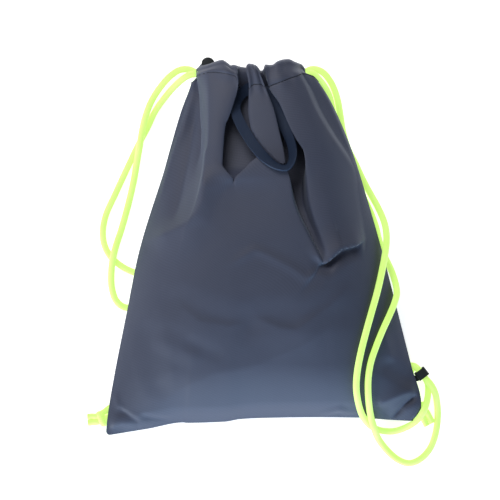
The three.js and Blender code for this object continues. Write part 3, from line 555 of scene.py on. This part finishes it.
def front_surface(thread, up):
    x, y, lift = front_plan(thread, up)
    left = section("left", up)
    right = section("right", up)
    side = np.clip(2 * (x - left) / (right - left) - 1, -1, 1)
    crown = section("bulge", up) * (1 - np.abs(side) ** BULGE_POWER)
    z = section("seam", up) + corner_rise(side, up) + crown + lift
    for dent in FRONT_DENTS:
        away = distance_to_segment(x, y, *dent["line"])
        z = z + dent["height"] * hump(away, dent["half"])
    inside = smoothstep(0, CREASE_OFF_BOTTOM, up) * smoothstep(0, CREASE_OFF_SIDE, 1 - np.abs(side))
    moved_x = x
    moved_y = y
    for row in FRONT_CREASES:
        height, shift_x, shift_y = crease(x, y, row)
        z = z + height * inside
        moved_x = moved_x + shift_x
        moved_y = moved_y + shift_y
    stray = HEM_STRAY * np.sin(HEM_STRAY_RATE * thread)
    puckers = np.sin(2 * np.pi * HEM_PUCKERS * thread + stray)
    z = z + HEM_PUCKER_HEIGHT * puckers * smoothstep(HEM_PUCKER_FROM, HEM_PUCKER_FULL, up)
    groove = np.exp(-(((up - TUNNEL_START) / STITCH_GROOVE_WIDTH) ** 2))
    drop = along(MOUTH_DROP, "thread", "z", thread) * smoothstep(MOUTH_DROP_FROM, 1, up)
    sewn = SEAM_CLOSING * smoothstep(SEAM_FROM, 1, np.abs(side))
    z = np.maximum(z - STITCH_GROOVE * groove - drop - sewn, FRONT_LOWEST)
    return np.stack([moved_x, moved_y, z], axis=-1)


def lift_over_cords(x, y):
    """How far the hidden cords lift the back."""
    nearest = np.full(x.shape, np.inf)
    for route in STRANDS.values():
        for (x0, y0, z0), (x1, y1, z1) in zip(route, route[1:]):
            if max(z0, z1) <= CORD_LOW:
                nearest = np.minimum(nearest, distance_to_segment(x, y, x0, y0, x1, y1))
    return CORD_LIFT * (1 - smoothstep(CORD_LIFT_FULL, CORD_LIFT_GONE, nearest))


def back_surface(thread, up):
    mouth_y = along(BACK_MOUTH_EDGE, "thread", "y", thread)
    x, y, side = plan_of(thread, up, mouth_y - BACK_TUNNEL, mouth_y)
    seam = section("back_seam", up)
    edge = seam + corner_rise(side, up) - CLOTH_THICKNESS / 2 + SEAM_CLOSING
    towards_side = np.clip((np.abs(side) - BACK_FLAT_SHARE) / (1 - BACK_FLAT_SHARE), 0, 1)
    towards_bottom = np.clip(1 - up / BACK_BOTTOM_SHARE, 0, 1)
    rise = np.maximum(edge * towards_side, edge * towards_bottom)
    ruffle = 0.5 - 0.5 * np.cos(2 * np.pi * BACK_RUFFLES * thread)
    risen = smoothstep(BACK_RUFFLE_FROM, BACK_RUFFLE_FULL, up)
    left_over = 1 - BACK_PRESS * smoothstep(BACK_PRESS_FROM, TUNNEL_START, up)
    ruffled = BACK_RUFFLE_HEIGHT * ruffle * risen * left_over
    z = CLOTH_THICKNESS / 2 + np.maximum(np.maximum(rise, ruffled), lift_over_cords(x, y))
    return np.stack([x, y, z], axis=-1)


def panel_grid(surface, flap_z):
    """Points of a panel from the bottom seam over the fold at the mouth to the flap's raw edge, row by row,
    with each row's place on the flat cloth, and the number of the row at the stitches."""
    thread = np.linspace(0, 1, CELLS_ACROSS + 1)
    ups = np.sort(np.concatenate([np.linspace(0, 1, CELLS_UP + 1), TUNNEL_START + np.array(STITCH_ROWS)]))
    rows = [surface(*round_corners(thread, np.full(thread.shape, up))) for up in ups]
    flat = [BODY_LENGTH * up for up in ups]
    top = rows[-1]
    for share in np.linspace(0, 1, FOLD_CELLS + 1)[1:]:
        row = top.copy()
        row[:, 1] += TUNNEL_ROUND * np.sin(np.pi * share)
        row[:, 2] = (top[:, 2] + flap_z) / 2 + (top[:, 2] - flap_z) / 2 * np.cos(np.pi * share)
        rows.append(row)
        flat.append(BODY_LENGTH + FOLD_LENGTH * share)
    for share in np.linspace(0, 1, FLAP_CELLS + 1)[1:]:
        row = top.copy()
        up = 1 - (1 - TUNNEL_START) * share
        row[:, 1] = surface(thread, np.full(thread.shape, up))[:, 1] - FLAP_OVERLAP * share
        row[:, 2] = flap_z
        rows.append(row)
        flat.append(BODY_LENGTH + FOLD_LENGTH + (PANEL_LENGTH - BODY_LENGTH - FOLD_LENGTH) * share)
    return np.array(rows), flat, int(np.argmin(np.abs(ups - TUNNEL_START)))


def only(obj):
    """Selects one object and makes it the active one."""
    bpy.ops.object.select_all(action="DESELECT")
    obj.select_set(True)
    bpy.context.view_layer.objects.active = obj


def smooth(obj, degrees):
    only(obj)
    bpy.ops.object.shade_smooth_by_angle(angle=math.radians(degrees))


def sheet_object(name, grid, width, flat_rows):
    """A cloth sheet through a grid of points, with its places on the flat cloth as UV map, in metres."""
    rows, columns = grid.shape[:2]
    index = np.arange(rows * columns).reshape(rows, columns)
    corners = [index[:-1, :-1], index[:-1, 1:], index[1:, 1:], index[1:, :-1]]
    faces = np.stack([c.ravel() for c in corners], axis=1)
    mesh = bpy.data.meshes.new(name)
    mesh.from_pydata((grid.reshape(-1, 3) * MM).tolist(), [], faces.tolist())
    u, v = np.meshgrid(np.linspace(0, width, columns), flat_rows)
    flat = np.stack([u.ravel(), v.ravel()], axis=1) * MM
    layer = mesh.uv_layers.new(name="UVMap")
    layer.data.foreach_set("uv", flat[faces.ravel()].ravel())
    obj = bpy.data.objects.new(name, mesh)
    bpy.context.collection.objects.link(obj)
    return obj


def thicken(obj, thickness):
    solid = obj.modifiers.new("thickness", "SOLIDIFY")
    solid.thickness = thickness * MM
    solid.offset = 0
    solid.use_even_offset = False
    only(obj)
    bpy.ops.object.modifier_apply(modifier=solid.name)
    smooth(obj, SOFT_ANGLE)


def points_at(places, keys, points):
    """Points between the rows of a list of points, at places along their keys."""
    return np.stack([np.interp(places, keys, points[:, k]) for k in range(3)], axis=1)


def smooth_line(route, step):
    """Evenly spaced points on a centripetal Catmull-Rom curve through a route, and its length."""
    points = np.array(route, float)
    first = 2 * points[0] - points[1]
    last = 2 * points[-1] - points[-2]
    padded = np.vstack([first, points, last])
    fine = [points[0]]
    for p0, p1, p2, p3 in zip(padded, padded[1:], padded[2:], padded[3:]):
        d0, d1, d2 = (math.sqrt(math.dist(a, b)) for a, b in ((p0, p1), (p1, p2), (p2, p3)))
        m1 = d1 * ((p1 - p0) / d0 - (p2 - p0) / (d0 + d1) + (p2 - p1) / d1)
        m2 = d1 * ((p2 - p1) / d1 - (p3 - p1) / (d1 + d2) + (p3 - p2) / d2)
        for t in np.linspace(0, 1, CURVE_CELLS + 1)[1:]:
            s = 1 - t
            start = p1 * (1 + 2 * t) * s * s + m1 * t * s * s
            fine.append(start + p2 * (3 - 2 * t) * t * t - m2 * t * t * s)
    fine = np.array(fine)
    gone = np.concatenate([[0], np.cumsum(np.linalg.norm(np.diff(fine, axis=0), axis=1))])
    places = np.linspace(0, gone[-1], max(2, round(gone[-1] / step) + 1))
    return points_at(places, gone, fine), gone[-1]


def tube(name, points, diameter):
    """A round cord along points, with UV: turns round it, and metres along it."""
    curve = bpy.data.curves.new(name, "CURVE")
    curve.dimensions = "3D"
    curve.bevel_depth = diameter / 2 * MM
    curve.bevel_resolution = CORD_ROUNDNESS
    curve.use_fill_caps = True
    spline = curve.splines.new("POLY")
    spline.points.add(len(points) - 1)
    for point, place in zip(spline.points, points):
        point.co = (*(place * MM), 1)
    obj = bpy.data.objects.new(name, curve)
    bpy.context.collection.objects.link(obj)
    only(obj)
    bpy.ops.object.convert(target="MESH")
    obj = bpy.context.object
    length = np.sum(np.linalg.norm(np.diff(points, axis=0), axis=1)) * MM
    layer = obj.data.uv_layers[0]
    uv = np.empty(len(layer.data) * 2)
    layer.data.foreach_get("uv", uv)
    uv[1::2] *= length
    layer.data.foreach_set("uv", uv)
    smooth(obj, SOFT_ANGLE)
    return obj


def handle_grid():
    """Rows of points across the handle's webbing, along its centre line, and that line's length."""
    places = np.arange(len(HANDLE["x"])) / (len(HANDLE["x"]) - 1)
    tilts = {"share": tuple(places), "tilt": HANDLE["tilt"]}
    line, length = smooth_line(list(zip(HANDLE["x"], HANDLE["y"], HANDLE["z"])), HANDLE_STEP)
    ahead = np.gradient(line, axis=0)
    ahead /= np.linalg.norm(ahead, axis=1)[:, None]
    flat = np.stack([ahead[:, 1], -ahead[:, 0], np.zeros(len(line))], axis=1)
    flat /= np.linalg.norm(flat, axis=1)[:, None]
    tilt = np.radians(along(tilts, "share", "tilt", np.linspace(0, 1, len(line))))[:, None]
    side = flat * np.cos(tilt) + np.array([0, 0, 1]) * np.sin(tilt)
    widths = np.linspace(-0.5, 0.5, HANDLE_CELLS_ACROSS + 1)
    return np.stack([line + side * (k * WEBBING_WIDTH) for k in widths], axis=1), length


def pick(obj, mode, test):
    """Selects, in edit mode, only the faces or edges that pass a test."""
    bpy.ops.mesh.select_mode(type=mode)
    bpy.ops.mesh.select_all(action="DESELECT")
    mesh = bmesh.from_edit_mesh(obj.data)
    for part in mesh.faces if mode == "FACE" else mesh.edges:
        if test(part):
            part.select_set(True)
    mesh.select_flush_mode()
    bmesh.update_edit_mesh(obj.data)


def runs_along(edge, axis):
    return abs((edge.verts[1].co - edge.verts[0].co).normalized()[axis]) > STRAIGHT


def new_block(name, sizes):
    """A block of these sizes in millimetres, left in edit mode."""
    bpy.ops.object.select_all(action="DESELECT")
    bpy.ops.mesh.primitive_cube_add(size=1)
    block = bpy.context.object
    block.name = name
    block.scale = [size * MM for size in sizes]
    bpy.ops.object.transform_apply(location=False, rotation=False, scale=True)
    bpy.ops.object.mode_set(mode="EDIT")
    return block


def box_uv(obj):
    """UV in metres along the two axes that a face lies along most, u along X where it can."""
    layer = obj.data.uv_layers[0] if obj.data.uv_layers else obj.data.uv_layers.new(name="UVMap")
    layer.name = "UVMap"
    for face in obj.data.polygons:
        turned = max(range(3), key=lambda axis: abs(face.normal[axis]))
        u, v = ((1, 2), (0, 2), (0, 1))[turned]
        for corner in face.loop_indices:
            place = obj.data.vertices[obj.data.loops[corner].vertex_index].co
            layer.data[corner].uv = (place[u], place[v])


def put(obj, place, heading):
    """Turns a finished piece about Z and moves it to its place, in its mesh."""
    only(obj)
    obj.rotation_euler = (0, 0, math.radians(heading))
    obj.location = [value * MM for value in place]
    bpy.ops.object.transform_apply(location=True, rotation=True, scale=True)


def finish_block(block, place, heading):
    """Leaves edit mode, smooths a block of webbing, gives it UV and puts it in its place."""
    bpy.ops.object.mode_set(mode="OBJECT")
    smooth(block, BLOCK_ANGLE)
    box_uv(block)
    put(block, place, heading)


def is_corner(edge, half_width, half_height):
    """True for an edge along X at one of the four corners of a cross section."""
    place = edge.verts[0].co
    off_side = abs(abs(place.y) - half_width * MM)
    off_top = abs(abs(place.z) - half_height * MM)
    return runs_along(edge, 0) and max(off_side, off_top) < CORNER_NEAR


def webbing_loop(name, row):
    """A closed band of webbing: a block opened through its ends, with its corners rounded."""
    depth = row["width"] + 2 * LOOP_WALL
    height = row["height"] + 2 * LOOP_WALL
    loop = new_block(name, (LOOP_LENGTH, depth, height))
    pick(loop, "FACE", lambda face: abs(face.normal.x) > FACING)
    bpy.ops.mesh.inset(thickness=LOOP_WALL * MM, use_even_offset=True)
    bpy.ops.mesh.bridge_edge_loops()
    for wide, high, radius in (
        (depth, height, LOOP_ROUND + LOOP_WALL),
        (row["width"], row["height"], LOOP_ROUND),
    ):
        pick(loop, "EDGE", lambda edge: is_corner(edge, wide / 2, high / 2))
        bpy.ops.mesh.bevel(offset=radius * MM, segments=LOOP_ROUND_CELLS, affect="EDGES")
    finish_block(loop, (row["x"], row["y"], height / 2), row["heading"])
    return loop


def flat_strip(name, row):
    """A short flat piece of webbing with soft edges."""
    strip = new_block(name, (row["length"], row["width"], LOOP_WALL))
    pick(strip, "EDGE", lambda edge: runs_along(edge, 0))
    bpy.ops.mesh.bevel(offset=LOOP_WALL * TONGUE_SOFT * MM, segments=SOFT_CELLS, affect="EDGES")
    finish_block(strip, (row["x"], row["y"], row["z"]), 0)
    return strip


def join(parts):
    bpy.ops.object.select_all(action="DESELECT")
    for part in parts:
        part.select_set(True)
    bpy.context.view_layer.objects.active = parts[0]
    bpy.ops.object.join()
    return parts[0]


class Shade:
    """A shader socket that takes part in Python expressions."""

    def __init__(self, tree, socket):
        self.tree = tree
        self.socket = socket

    def node(self, kind, settings, inputs, output=0):
        """Adds any node: its settings first, then the values or links of its sockets."""
        made = self.tree.nodes.new(kind)
        for name, value in settings.items():
            setattr(made, name, value)
        for name, value in inputs.items():
            if isinstance(value, Shade):
                self.tree.links.new(value.socket, made.inputs[name])
            else:
                made.inputs[name].default_value = value
        return Shade(self.tree, made.outputs[output])

    def maths(self, operation, first, second):
        return self.node("ShaderNodeMath", {"operation": operation}, {0: first, 1: second})

    def __add__(self, other):
        return self.maths("ADD", self, other)

    def __radd__(self, other):
        return self.maths("ADD", other, self)

    def __sub__(self, other):
        return self.maths("SUBTRACT", self, other)

    def __rsub__(self, other):
        return self.maths("SUBTRACT", other, self)

    def __mul__(self, other):
        return self.maths("MULTIPLY", self, other)

    def __rmul__(self, other):
        return self.maths("MULTIPLY", other, self)

    def sine(self):
        return self.maths("SINE", self, 0.0)

    def stripes(self, pitch):
        """Soft stripes from 0 to 1, one for each pitch of this value."""
        return (self * (2 * math.pi / pitch)).sine() * 0.5 + 0.5

    def noise(self, scale, detail):
        """Noise at this place."""
        return self.node("ShaderNodeTexNoise", {}, {"Vector": self, "Scale": scale, "Detail": detail})

    def mixed(self, low, high):
        """A colour from low to high, by this value."""
        return self.node("ShaderNodeMix", {"data_type": "RGBA"}, {0: self, 6: low, 7: high}, 2)

    def bump(self, strength, distance):
        """A normal, with this value as the surface's height."""
        inputs = {"Height": self, "Strength": strength, "Distance": distance}
        return self.node("ShaderNodeBump", {}, inputs)

    def feed(self, shader, name):
        """Links this value to one of a shader's inputs."""
        self.tree.links.new(self.socket, shader.inputs[name])


def new_material(name, constants):
    """A material, and its Principled shader with these constants."""
    material = bpy.data.materials.new(name)
    material.use_nodes = True
    shader = material.node_tree.nodes["Principled BSDF"]
    for socket, value in constants.items():
        shader.inputs[socket].default_value = value
    return material, shader


def uv_parts(material):
    """The UV map of the pieces, and its two numbers."""
    tree = material.node_tree
    uv = Shade(tree, None).node("ShaderNodeUVMap", {"uv_map": "UVMap"}, {})
    u = uv.node("ShaderNodeSeparateXYZ", {}, {0: uv}, 0)
    return uv, u, Shade(tree, u.socket.node.outputs[1])


def bag_cloth():
    """Dull navy twill with a soft sheen, a little uneven."""
    material, shader = new_material("bag_cloth", {
        "Specular IOR Level": 0.3,
        "Sheen Weight": 0.15,
        "Sheen Roughness": 0.4,
        "Sheen Tint": (0.75, 0.85, 1.0, 1.0),
    })
    uv, u, v = uv_parts(material)
    twill = (u + v).stripes(TWILL_PITCH)
    warp = u.stripes(WARP_PITCH)
    cloud = uv.noise(CLOUD_SCALE, detail=4.0)
    mottle = uv.noise(MOTTLE_SCALE, detail=2.0)
    wale = (v + u * 0.5).stripes(WALE_PITCH)
    threads = twill * 0.35 + warp * 0.15 + mottle * 0.25 + wale * 0.25
    dark = (0.036, 0.042, 0.066, 1.0)
    light = (0.064, 0.073, 0.112, 1.0)
    (threads * 0.8 + cloud * 0.2).mixed(dark, light).feed(shader, "Base Color")
    (0.52 + cloud * 0.12 - twill * 0.06).feed(shader, "Roughness")
    threads.bump(strength=0.25, distance=0.0002).feed(shader, "Normal")
    return material


def lime_cord():
    """Braided lime cord with a painted glow: its emission brightens the cord and flattens its shading,
    though it is no lamp.
    """
    material, shader = new_material("lime_cord", {
        "Roughness": 0.62,
        "Specular IOR Level": 0.3,
        "Sheen Weight": 0.2,
        "Sheen Roughness": 0.5,
        # Painted glow: the cord gives off light of its own, which stands in for the light that falls on it.
        "Emission Color": (0.64, 0.97, 0.2, 1.0),
        "Emission Strength": 0.72,
    })
    uv, u, v = uv_parts(material)
    round_it = 2 * math.pi * BRAID_STRANDS
    along_it = 2 * math.pi / BRAID_PITCH
    one_way = (u * round_it + v * along_it).sine()
    other_way = (u * round_it - v * along_it).sine()
    braid = one_way * other_way * 0.5 + 0.5
    fibre = uv.noise(CORD_FIBRE_SCALE, detail=3.0)
    deep = (0.3, 0.47, 0.1, 1.0)
    bright = (0.42, 0.57, 0.19, 1.0)
    (braid * 0.6 + fibre * 0.4).mixed(deep, bright).feed(shader, "Base Color")
    braid.bump(strength=0.35, distance=0.0003).feed(shader, "Normal")
    return material


def webbing(name, dark, light):
    """Flat woven webbing: ribs across its width and a fine herringbone."""
    material, shader = new_material(name, {
        "Specular IOR Level": 0.25,
        "Sheen Weight": 0.06,
        "Sheen Roughness": 0.4,
    })
    uv, u, v = uv_parts(material)
    ribs = v.stripes(RIB_PITCH)
    weave = (u + v).stripes(HERRINGBONE_PITCH)
    fibre = uv.noise(WEBBING_FIBRE_SCALE, detail=2.0)
    threads = ribs * 0.5 + weave * 0.25 + fibre * 0.25
    threads.mixed(dark, light).feed(shader, "Base Color")
    (0.62 + fibre * 0.15 - ribs * 0.1).feed(shader, "Roughness")
    threads.bump(strength=0.4, distance=0.0003).feed(shader, "Normal")
    return material


CLOTH = bag_cloth()
CORD = lime_cord()
NAVY_WEBBING = webbing("navy_webbing", dark=(0.0075, 0.0155, 0.037, 1.0), light=(0.018, 0.034, 0.072, 1.0))
THREAD = webbing("thread", dark=(0.008, 0.01, 0.016, 1.0), light=(0.02, 0.024, 0.036, 1.0))
BLACK_WEBBING = webbing("black_webbing", dark=(0.006, 0.008, 0.009, 1.0), light=(0.024, 0.03, 0.032, 1.0))


def dress(obj, node, material):
    """Finishes a piece: its material, the node that it stands for and its body."""
    obj.data.materials.clear()
    obj.data.materials.append(material)
    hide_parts(node)
    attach(obj, "root")


def strips_above():
    """Places of the cords and the handle that lie on the front: points, and how far the cloth keeps off."""
    points = []
    for name in STRANDS_ON_FRONT:
        line = smooth_line(STRANDS[name], PRESS_STEP)[0]
        line = line[(line[:, 2] > ON_FRONT) & (line[:, 1] < 0)]
        points.append(np.column_stack([line, np.full(len(line), CORD_DRAWN / 2)]))
    places = handle_grid()[0].reshape(-1, 3)
    points.append(np.column_stack([places, np.full(len(places), WEBBING_THICKNESS / 2)]))
    return np.vstack(points)


def keep_below(grid, above):
    """Presses a grid of cloth points down where something lies on it. Cloth that folds over it stays."""
    flat = grid.reshape(-1, 3).copy()
    keep_off = above[:, 3] + CLOTH_THICKNESS / 2 + REST_GAP
    tree = KDTree(len(above))
    for k, row in enumerate(above):
        tree.insert((row[0], row[1], 0), k)
    tree.balance()
    widest = keep_off.max()
    for place in flat:
        limit = place[2]
        for near, k, away in tree.find_range((place[0], place[1], 0), widest):
            if away < keep_off[k] and place[2] < above[k, 2] + FOLDED_OVER:
                limit = min(limit, above[k, 2] - math.sqrt(keep_off[k] ** 2 - away ** 2))
        place[2] = limit
    return flat.reshape(grid.shape)


def row_normals(grid, index):
    across = np.gradient(grid[index], axis=0)
    up = grid[index + 1] - grid[index - 1]
    normals = np.cross(across, up)
    return normals / np.linalg.norm(normals, axis=1)[:, None]


def build_panels():
    for name, surface, flap_z, outward in (
        ("front_panel", front_surface, FRONT_FLAP_Z, 1),
        ("back_panel", back_surface, BACK_FLAP_Z, -1),
    ):
        grid, flat_rows, stitch_row = panel_grid(surface, flap_z)
        if name == "front_panel":
            grid = keep_below(grid, strips_above())
        cloth = sheet_object(name + "_cloth", grid, PANEL_WIDTH, flat_rows)
        thicken(cloth, CLOTH_THICKNESS)
        dress(cloth, name, CLOTH)
        stitches = sew(name + "_stitching", grid[stitch_row], outward * row_normals(grid, stitch_row))


def above_floor(points):
    """Lifts a drawn cord's line so that the cord lies on the floor and not in it."""
    lifted = points.copy()
    lifted[:, 2] = np.maximum(lifted[:, 2], CORD_DRAWN / 2)
    return lifted


def build_cords():
    for name, route in STRANDS.items():
        points, length = smooth_line(route, CORD_STEP)
        strand = tube(name + "_cord", above_floor(points), CORD_DRAWN)
        dress(strand, name, CORD)
    for name, route in CORD_RUNS.items():
        points = smooth_line(route, CORD_STEP)[0]
        dress(tube(name + "_cord", above_floor(points), CORD_DRAWN), name, CORD)


def build_handle():
    grid, length = handle_grid()
    strip = sheet_object("carry_handle_webbing", grid, WEBBING_WIDTH, np.linspace(0, length, len(grid)))
    thicken(strip, WEBBING_THICKNESS)
    dress(strip, "carry_handle", NAVY_WEBBING)


def build_loops():
    for name, row in SIDE_LOOPS.items():
        loop = webbing_loop(name + "_webbing", row)
        if name == "right_side_loop":
            loop = join([loop, flat_strip("tongue", TONGUE)])
        dress(loop, name, BLACK_WEBBING)


def build_tab():
    """The tab: a block with its far end rounded and its edges softened."""
    length = TAB["y_to"] - TAB["y_from"]
    tab = new_block("mouth_tab_webbing", (TAB["width"], length, TAB["thickness"]))
    pick(tab, "EDGE", lambda edge: runs_along(edge, 2) and edge.verts[0].co.y > 0)
    bpy.ops.mesh.bevel(offset=TAB["width"] * TAB_ROUND * MM, segments=TAB_ROUND_CELLS, affect="EDGES")
    pick(tab, "EDGE", lambda edge: not runs_along(edge, 2))
    bpy.ops.mesh.bevel(offset=TAB["thickness"] * TAB_SOFT * MM, segments=SOFT_CELLS, affect="EDGES")
    finish_block(tab, (TAB["x"], (TAB["y_from"] + TAB["y_to"]) / 2, TAB["z"]), 0)
    dress(tab, "mouth_tab", BLACK_WEBBING)


def knot_shape(row):
    """A tied knot at the origin, its cut ends towards +X: two cords side by side and a turn round them."""
    turn = math.radians(row["heading"])
    parts = []
    for strand, hand in zip(row["strands"], (1, -1)):
        x, y, z = np.array(STRANDS[strand][-1]) - (row["x"], row["y"], row["z"])
        start_x = x * math.cos(turn) + y * math.sin(turn)
        start_y = y * math.cos(turn) - x * math.sin(turn)
        start = np.array([start_x, start_y, z])
        across = [hand * KNOT_CORE_APART * spread for spread in KNOT_CORE["spread"]]
        core = np.column_stack([(*KNOT_CORE["along"], row["reach"]), across, KNOT_CORE["z"]])
        route = (start, (start + core[0]) / 2, *core)
        parts.append(tube("core", smooth_line(route, KNOT_STEP)[0], KNOT_CORE_DIAMETER))
    share = np.linspace(0, 1, KNOT_WRAP["points"])
    angle = 2 * np.pi * share - np.pi / 2
    x = KNOT_WRAP["from"] + (KNOT_WRAP["to"] - KNOT_WRAP["from"]) * share
    points = np.stack([x, KNOT_WRAP["across"] * np.cos(angle), KNOT_WRAP["up"] * np.sin(angle)], axis=1)
    parts.append(tube("wrap", points, KNOT_WRAP["diameter"]))
    return join(parts)


def build_knots():
    for name, row in KNOTS.items():
        knot = knot_shape(row)
        knot.name = name + "_cord"
        knot.data.name = knot.name
        put(knot, (row["x"], row["y"], row["z"]), row["heading"])
        dress(knot, name, CORD)


def stitch_shape():
    """One stitch along X: a short thread with an inset at each end."""
    bpy.ops.object.select_all(action="DESELECT")
    radius = STITCH_DIAMETER / 2 * MM
    bpy.ops.mesh.primitive_cylinder_add(vertices=STITCH_SIDES, radius=radius, depth=STITCH_LENGTH * MM)
    stitch = bpy.context.object
    stitch.rotation_euler = (0, math.pi / 2, 0)
    bpy.ops.object.transform_apply(location=False, rotation=True, scale=True)
    bpy.ops.object.mode_set(mode="EDIT")
    pick(stitch, "FACE", lambda face: abs(face.normal.x) > FACING)
    bpy.ops.mesh.inset(thickness=STITCH_DIAMETER * STITCH_INSET * MM)
    bpy.ops.object.mode_set(mode="OBJECT")
    return stitch


def sew(name, row, normals):
    """Stitches along a row of points on a panel, spaced evenly along the flat cloth."""
    stitch = stitch_shape()
    shape = np.array([vertex.co for vertex in stitch.data.vertices])
    faces = [tuple(face.vertices) for face in stitch.data.polygons]
    count = round(PANEL_WIDTH / STITCH_PITCH)
    cells = len(row) - 1
    keys = np.arange(len(row))
    places = (np.arange(count) + 0.5) / count * cells
    at = points_at(places, keys, row)
    ahead = points_at(places, keys, np.gradient(row, axis=0))
    up = points_at(places, keys, normals)
    crowding = np.clip(np.linalg.norm(ahead, axis=1) * cells / PANEL_WIDTH, STITCH_SHORTEST, 1)
    ahead /= np.linalg.norm(ahead, axis=1)[:, None]
    up -= ahead * np.sum(up * ahead, axis=1)[:, None]
    up /= np.linalg.norm(up, axis=1)[:, None]
    aside = np.cross(up, ahead)
    verts = []
    all_faces = []
    for k in range(count):
        start = len(verts)
        local = shape[:, :1] * ahead[k] * crowding[k] + shape[:, 1:2] * aside[k] + shape[:, 2:] * up[k]
        placed = at[k] * MM + up[k] * CLOTH_THICKNESS * STITCH_HEIGHT * MM + local
        placed[:, 2] = np.maximum(placed[:, 2], 0)  # the bag's weight presses thread under it flat
        verts.extend(placed.tolist())
        all_faces.extend([tuple(start + i for i in face) for face in faces])
    bpy.data.objects.remove(stitch)
    mesh = bpy.data.meshes.new(name)
    mesh.from_pydata(verts, [], all_faces)
    obj = bpy.data.objects.new(name, mesh)
    bpy.context.collection.objects.link(obj)
    smooth(obj, STITCH_ANGLE)
    box_uv(obj)
    obj.data.materials.append(THREAD)
    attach(obj, "root")
    return obj


def build_stage():
    bpy.ops.object.select_all(action="DESELECT")
    bpy.ops.mesh.primitive_plane_add(size=FLOOR_SIZE)
    floor = bpy.context.object
    floor.name = "floor"
    material, shader = new_material("pale_floor", {
        "Base Color": (0.88, 0.88, 0.88, 1.0),
        "Roughness": 0.9,
        "Specular IOR Level": 0.1,
        "Emission Color": (1.0, 1.0, 1.0, 1.0),
        "Emission Strength": 0.75,
    })
    floor.data.materials.append(material)


def area_light(name, row):
    """A round lamp that looks at the frame's origin."""
    lamp = bpy.data.lights.new(name, "AREA")
    lamp.shape = "DISK"
    lamp.size = row["size"]
    lamp.energy = row["power"]
    lamp.color = row["colour"]
    obj = bpy.data.objects.new(name, lamp)
    obj.location = row["place"]
    obj.rotation_euler = (-Vector(row["place"])).to_track_quat("-Z", "Y").to_euler()
    obj.visible_camera = False
    bpy.context.collection.objects.link(obj)


def build_light():
    world = bpy.data.worlds.new("studio")
    world.use_nodes = True
    background = world.node_tree.nodes["Background"]
    background.inputs["Color"].default_value = (1.0, 1.0, 1.0, 1.0)
    background.inputs["Strength"].default_value = SKY_STRENGTH
    bpy.context.scene.world = world
    bpy.context.scene.view_settings.view_transform = "Standard"
    for name, row in LIGHTS.items():
        area_light(name, row)


def build_camera():
    data = bpy.data.cameras.new("camera")
    camera = bpy.data.objects.new("camera", data)
    middle = PHOTO_SIDE / 2
    x = (middle - ORIGIN_PIXEL[0]) * MM_PER_PIXEL * MM
    y = (ORIGIN_PIXEL[1] - middle) * MM_PER_PIXEL * MM
    camera.location = (x, y, CAMERA_HEIGHT)
    data.sensor_width = SENSOR_WIDTH
    data.lens = SENSOR_WIDTH * CAMERA_HEIGHT / (PHOTO_SIDE * MM_PER_PIXEL * MM)
    data.clip_end = CAMERA_REACH
    bpy.context.collection.objects.link(camera)
    bpy.context.scene.camera = camera


bpy.ops.object.select_all(action="DESELECT")
build_camera()
build_cords()
build_panels()
build_handle()
build_loops()
build_tab()
build_knots()
build_stage()
build_light()
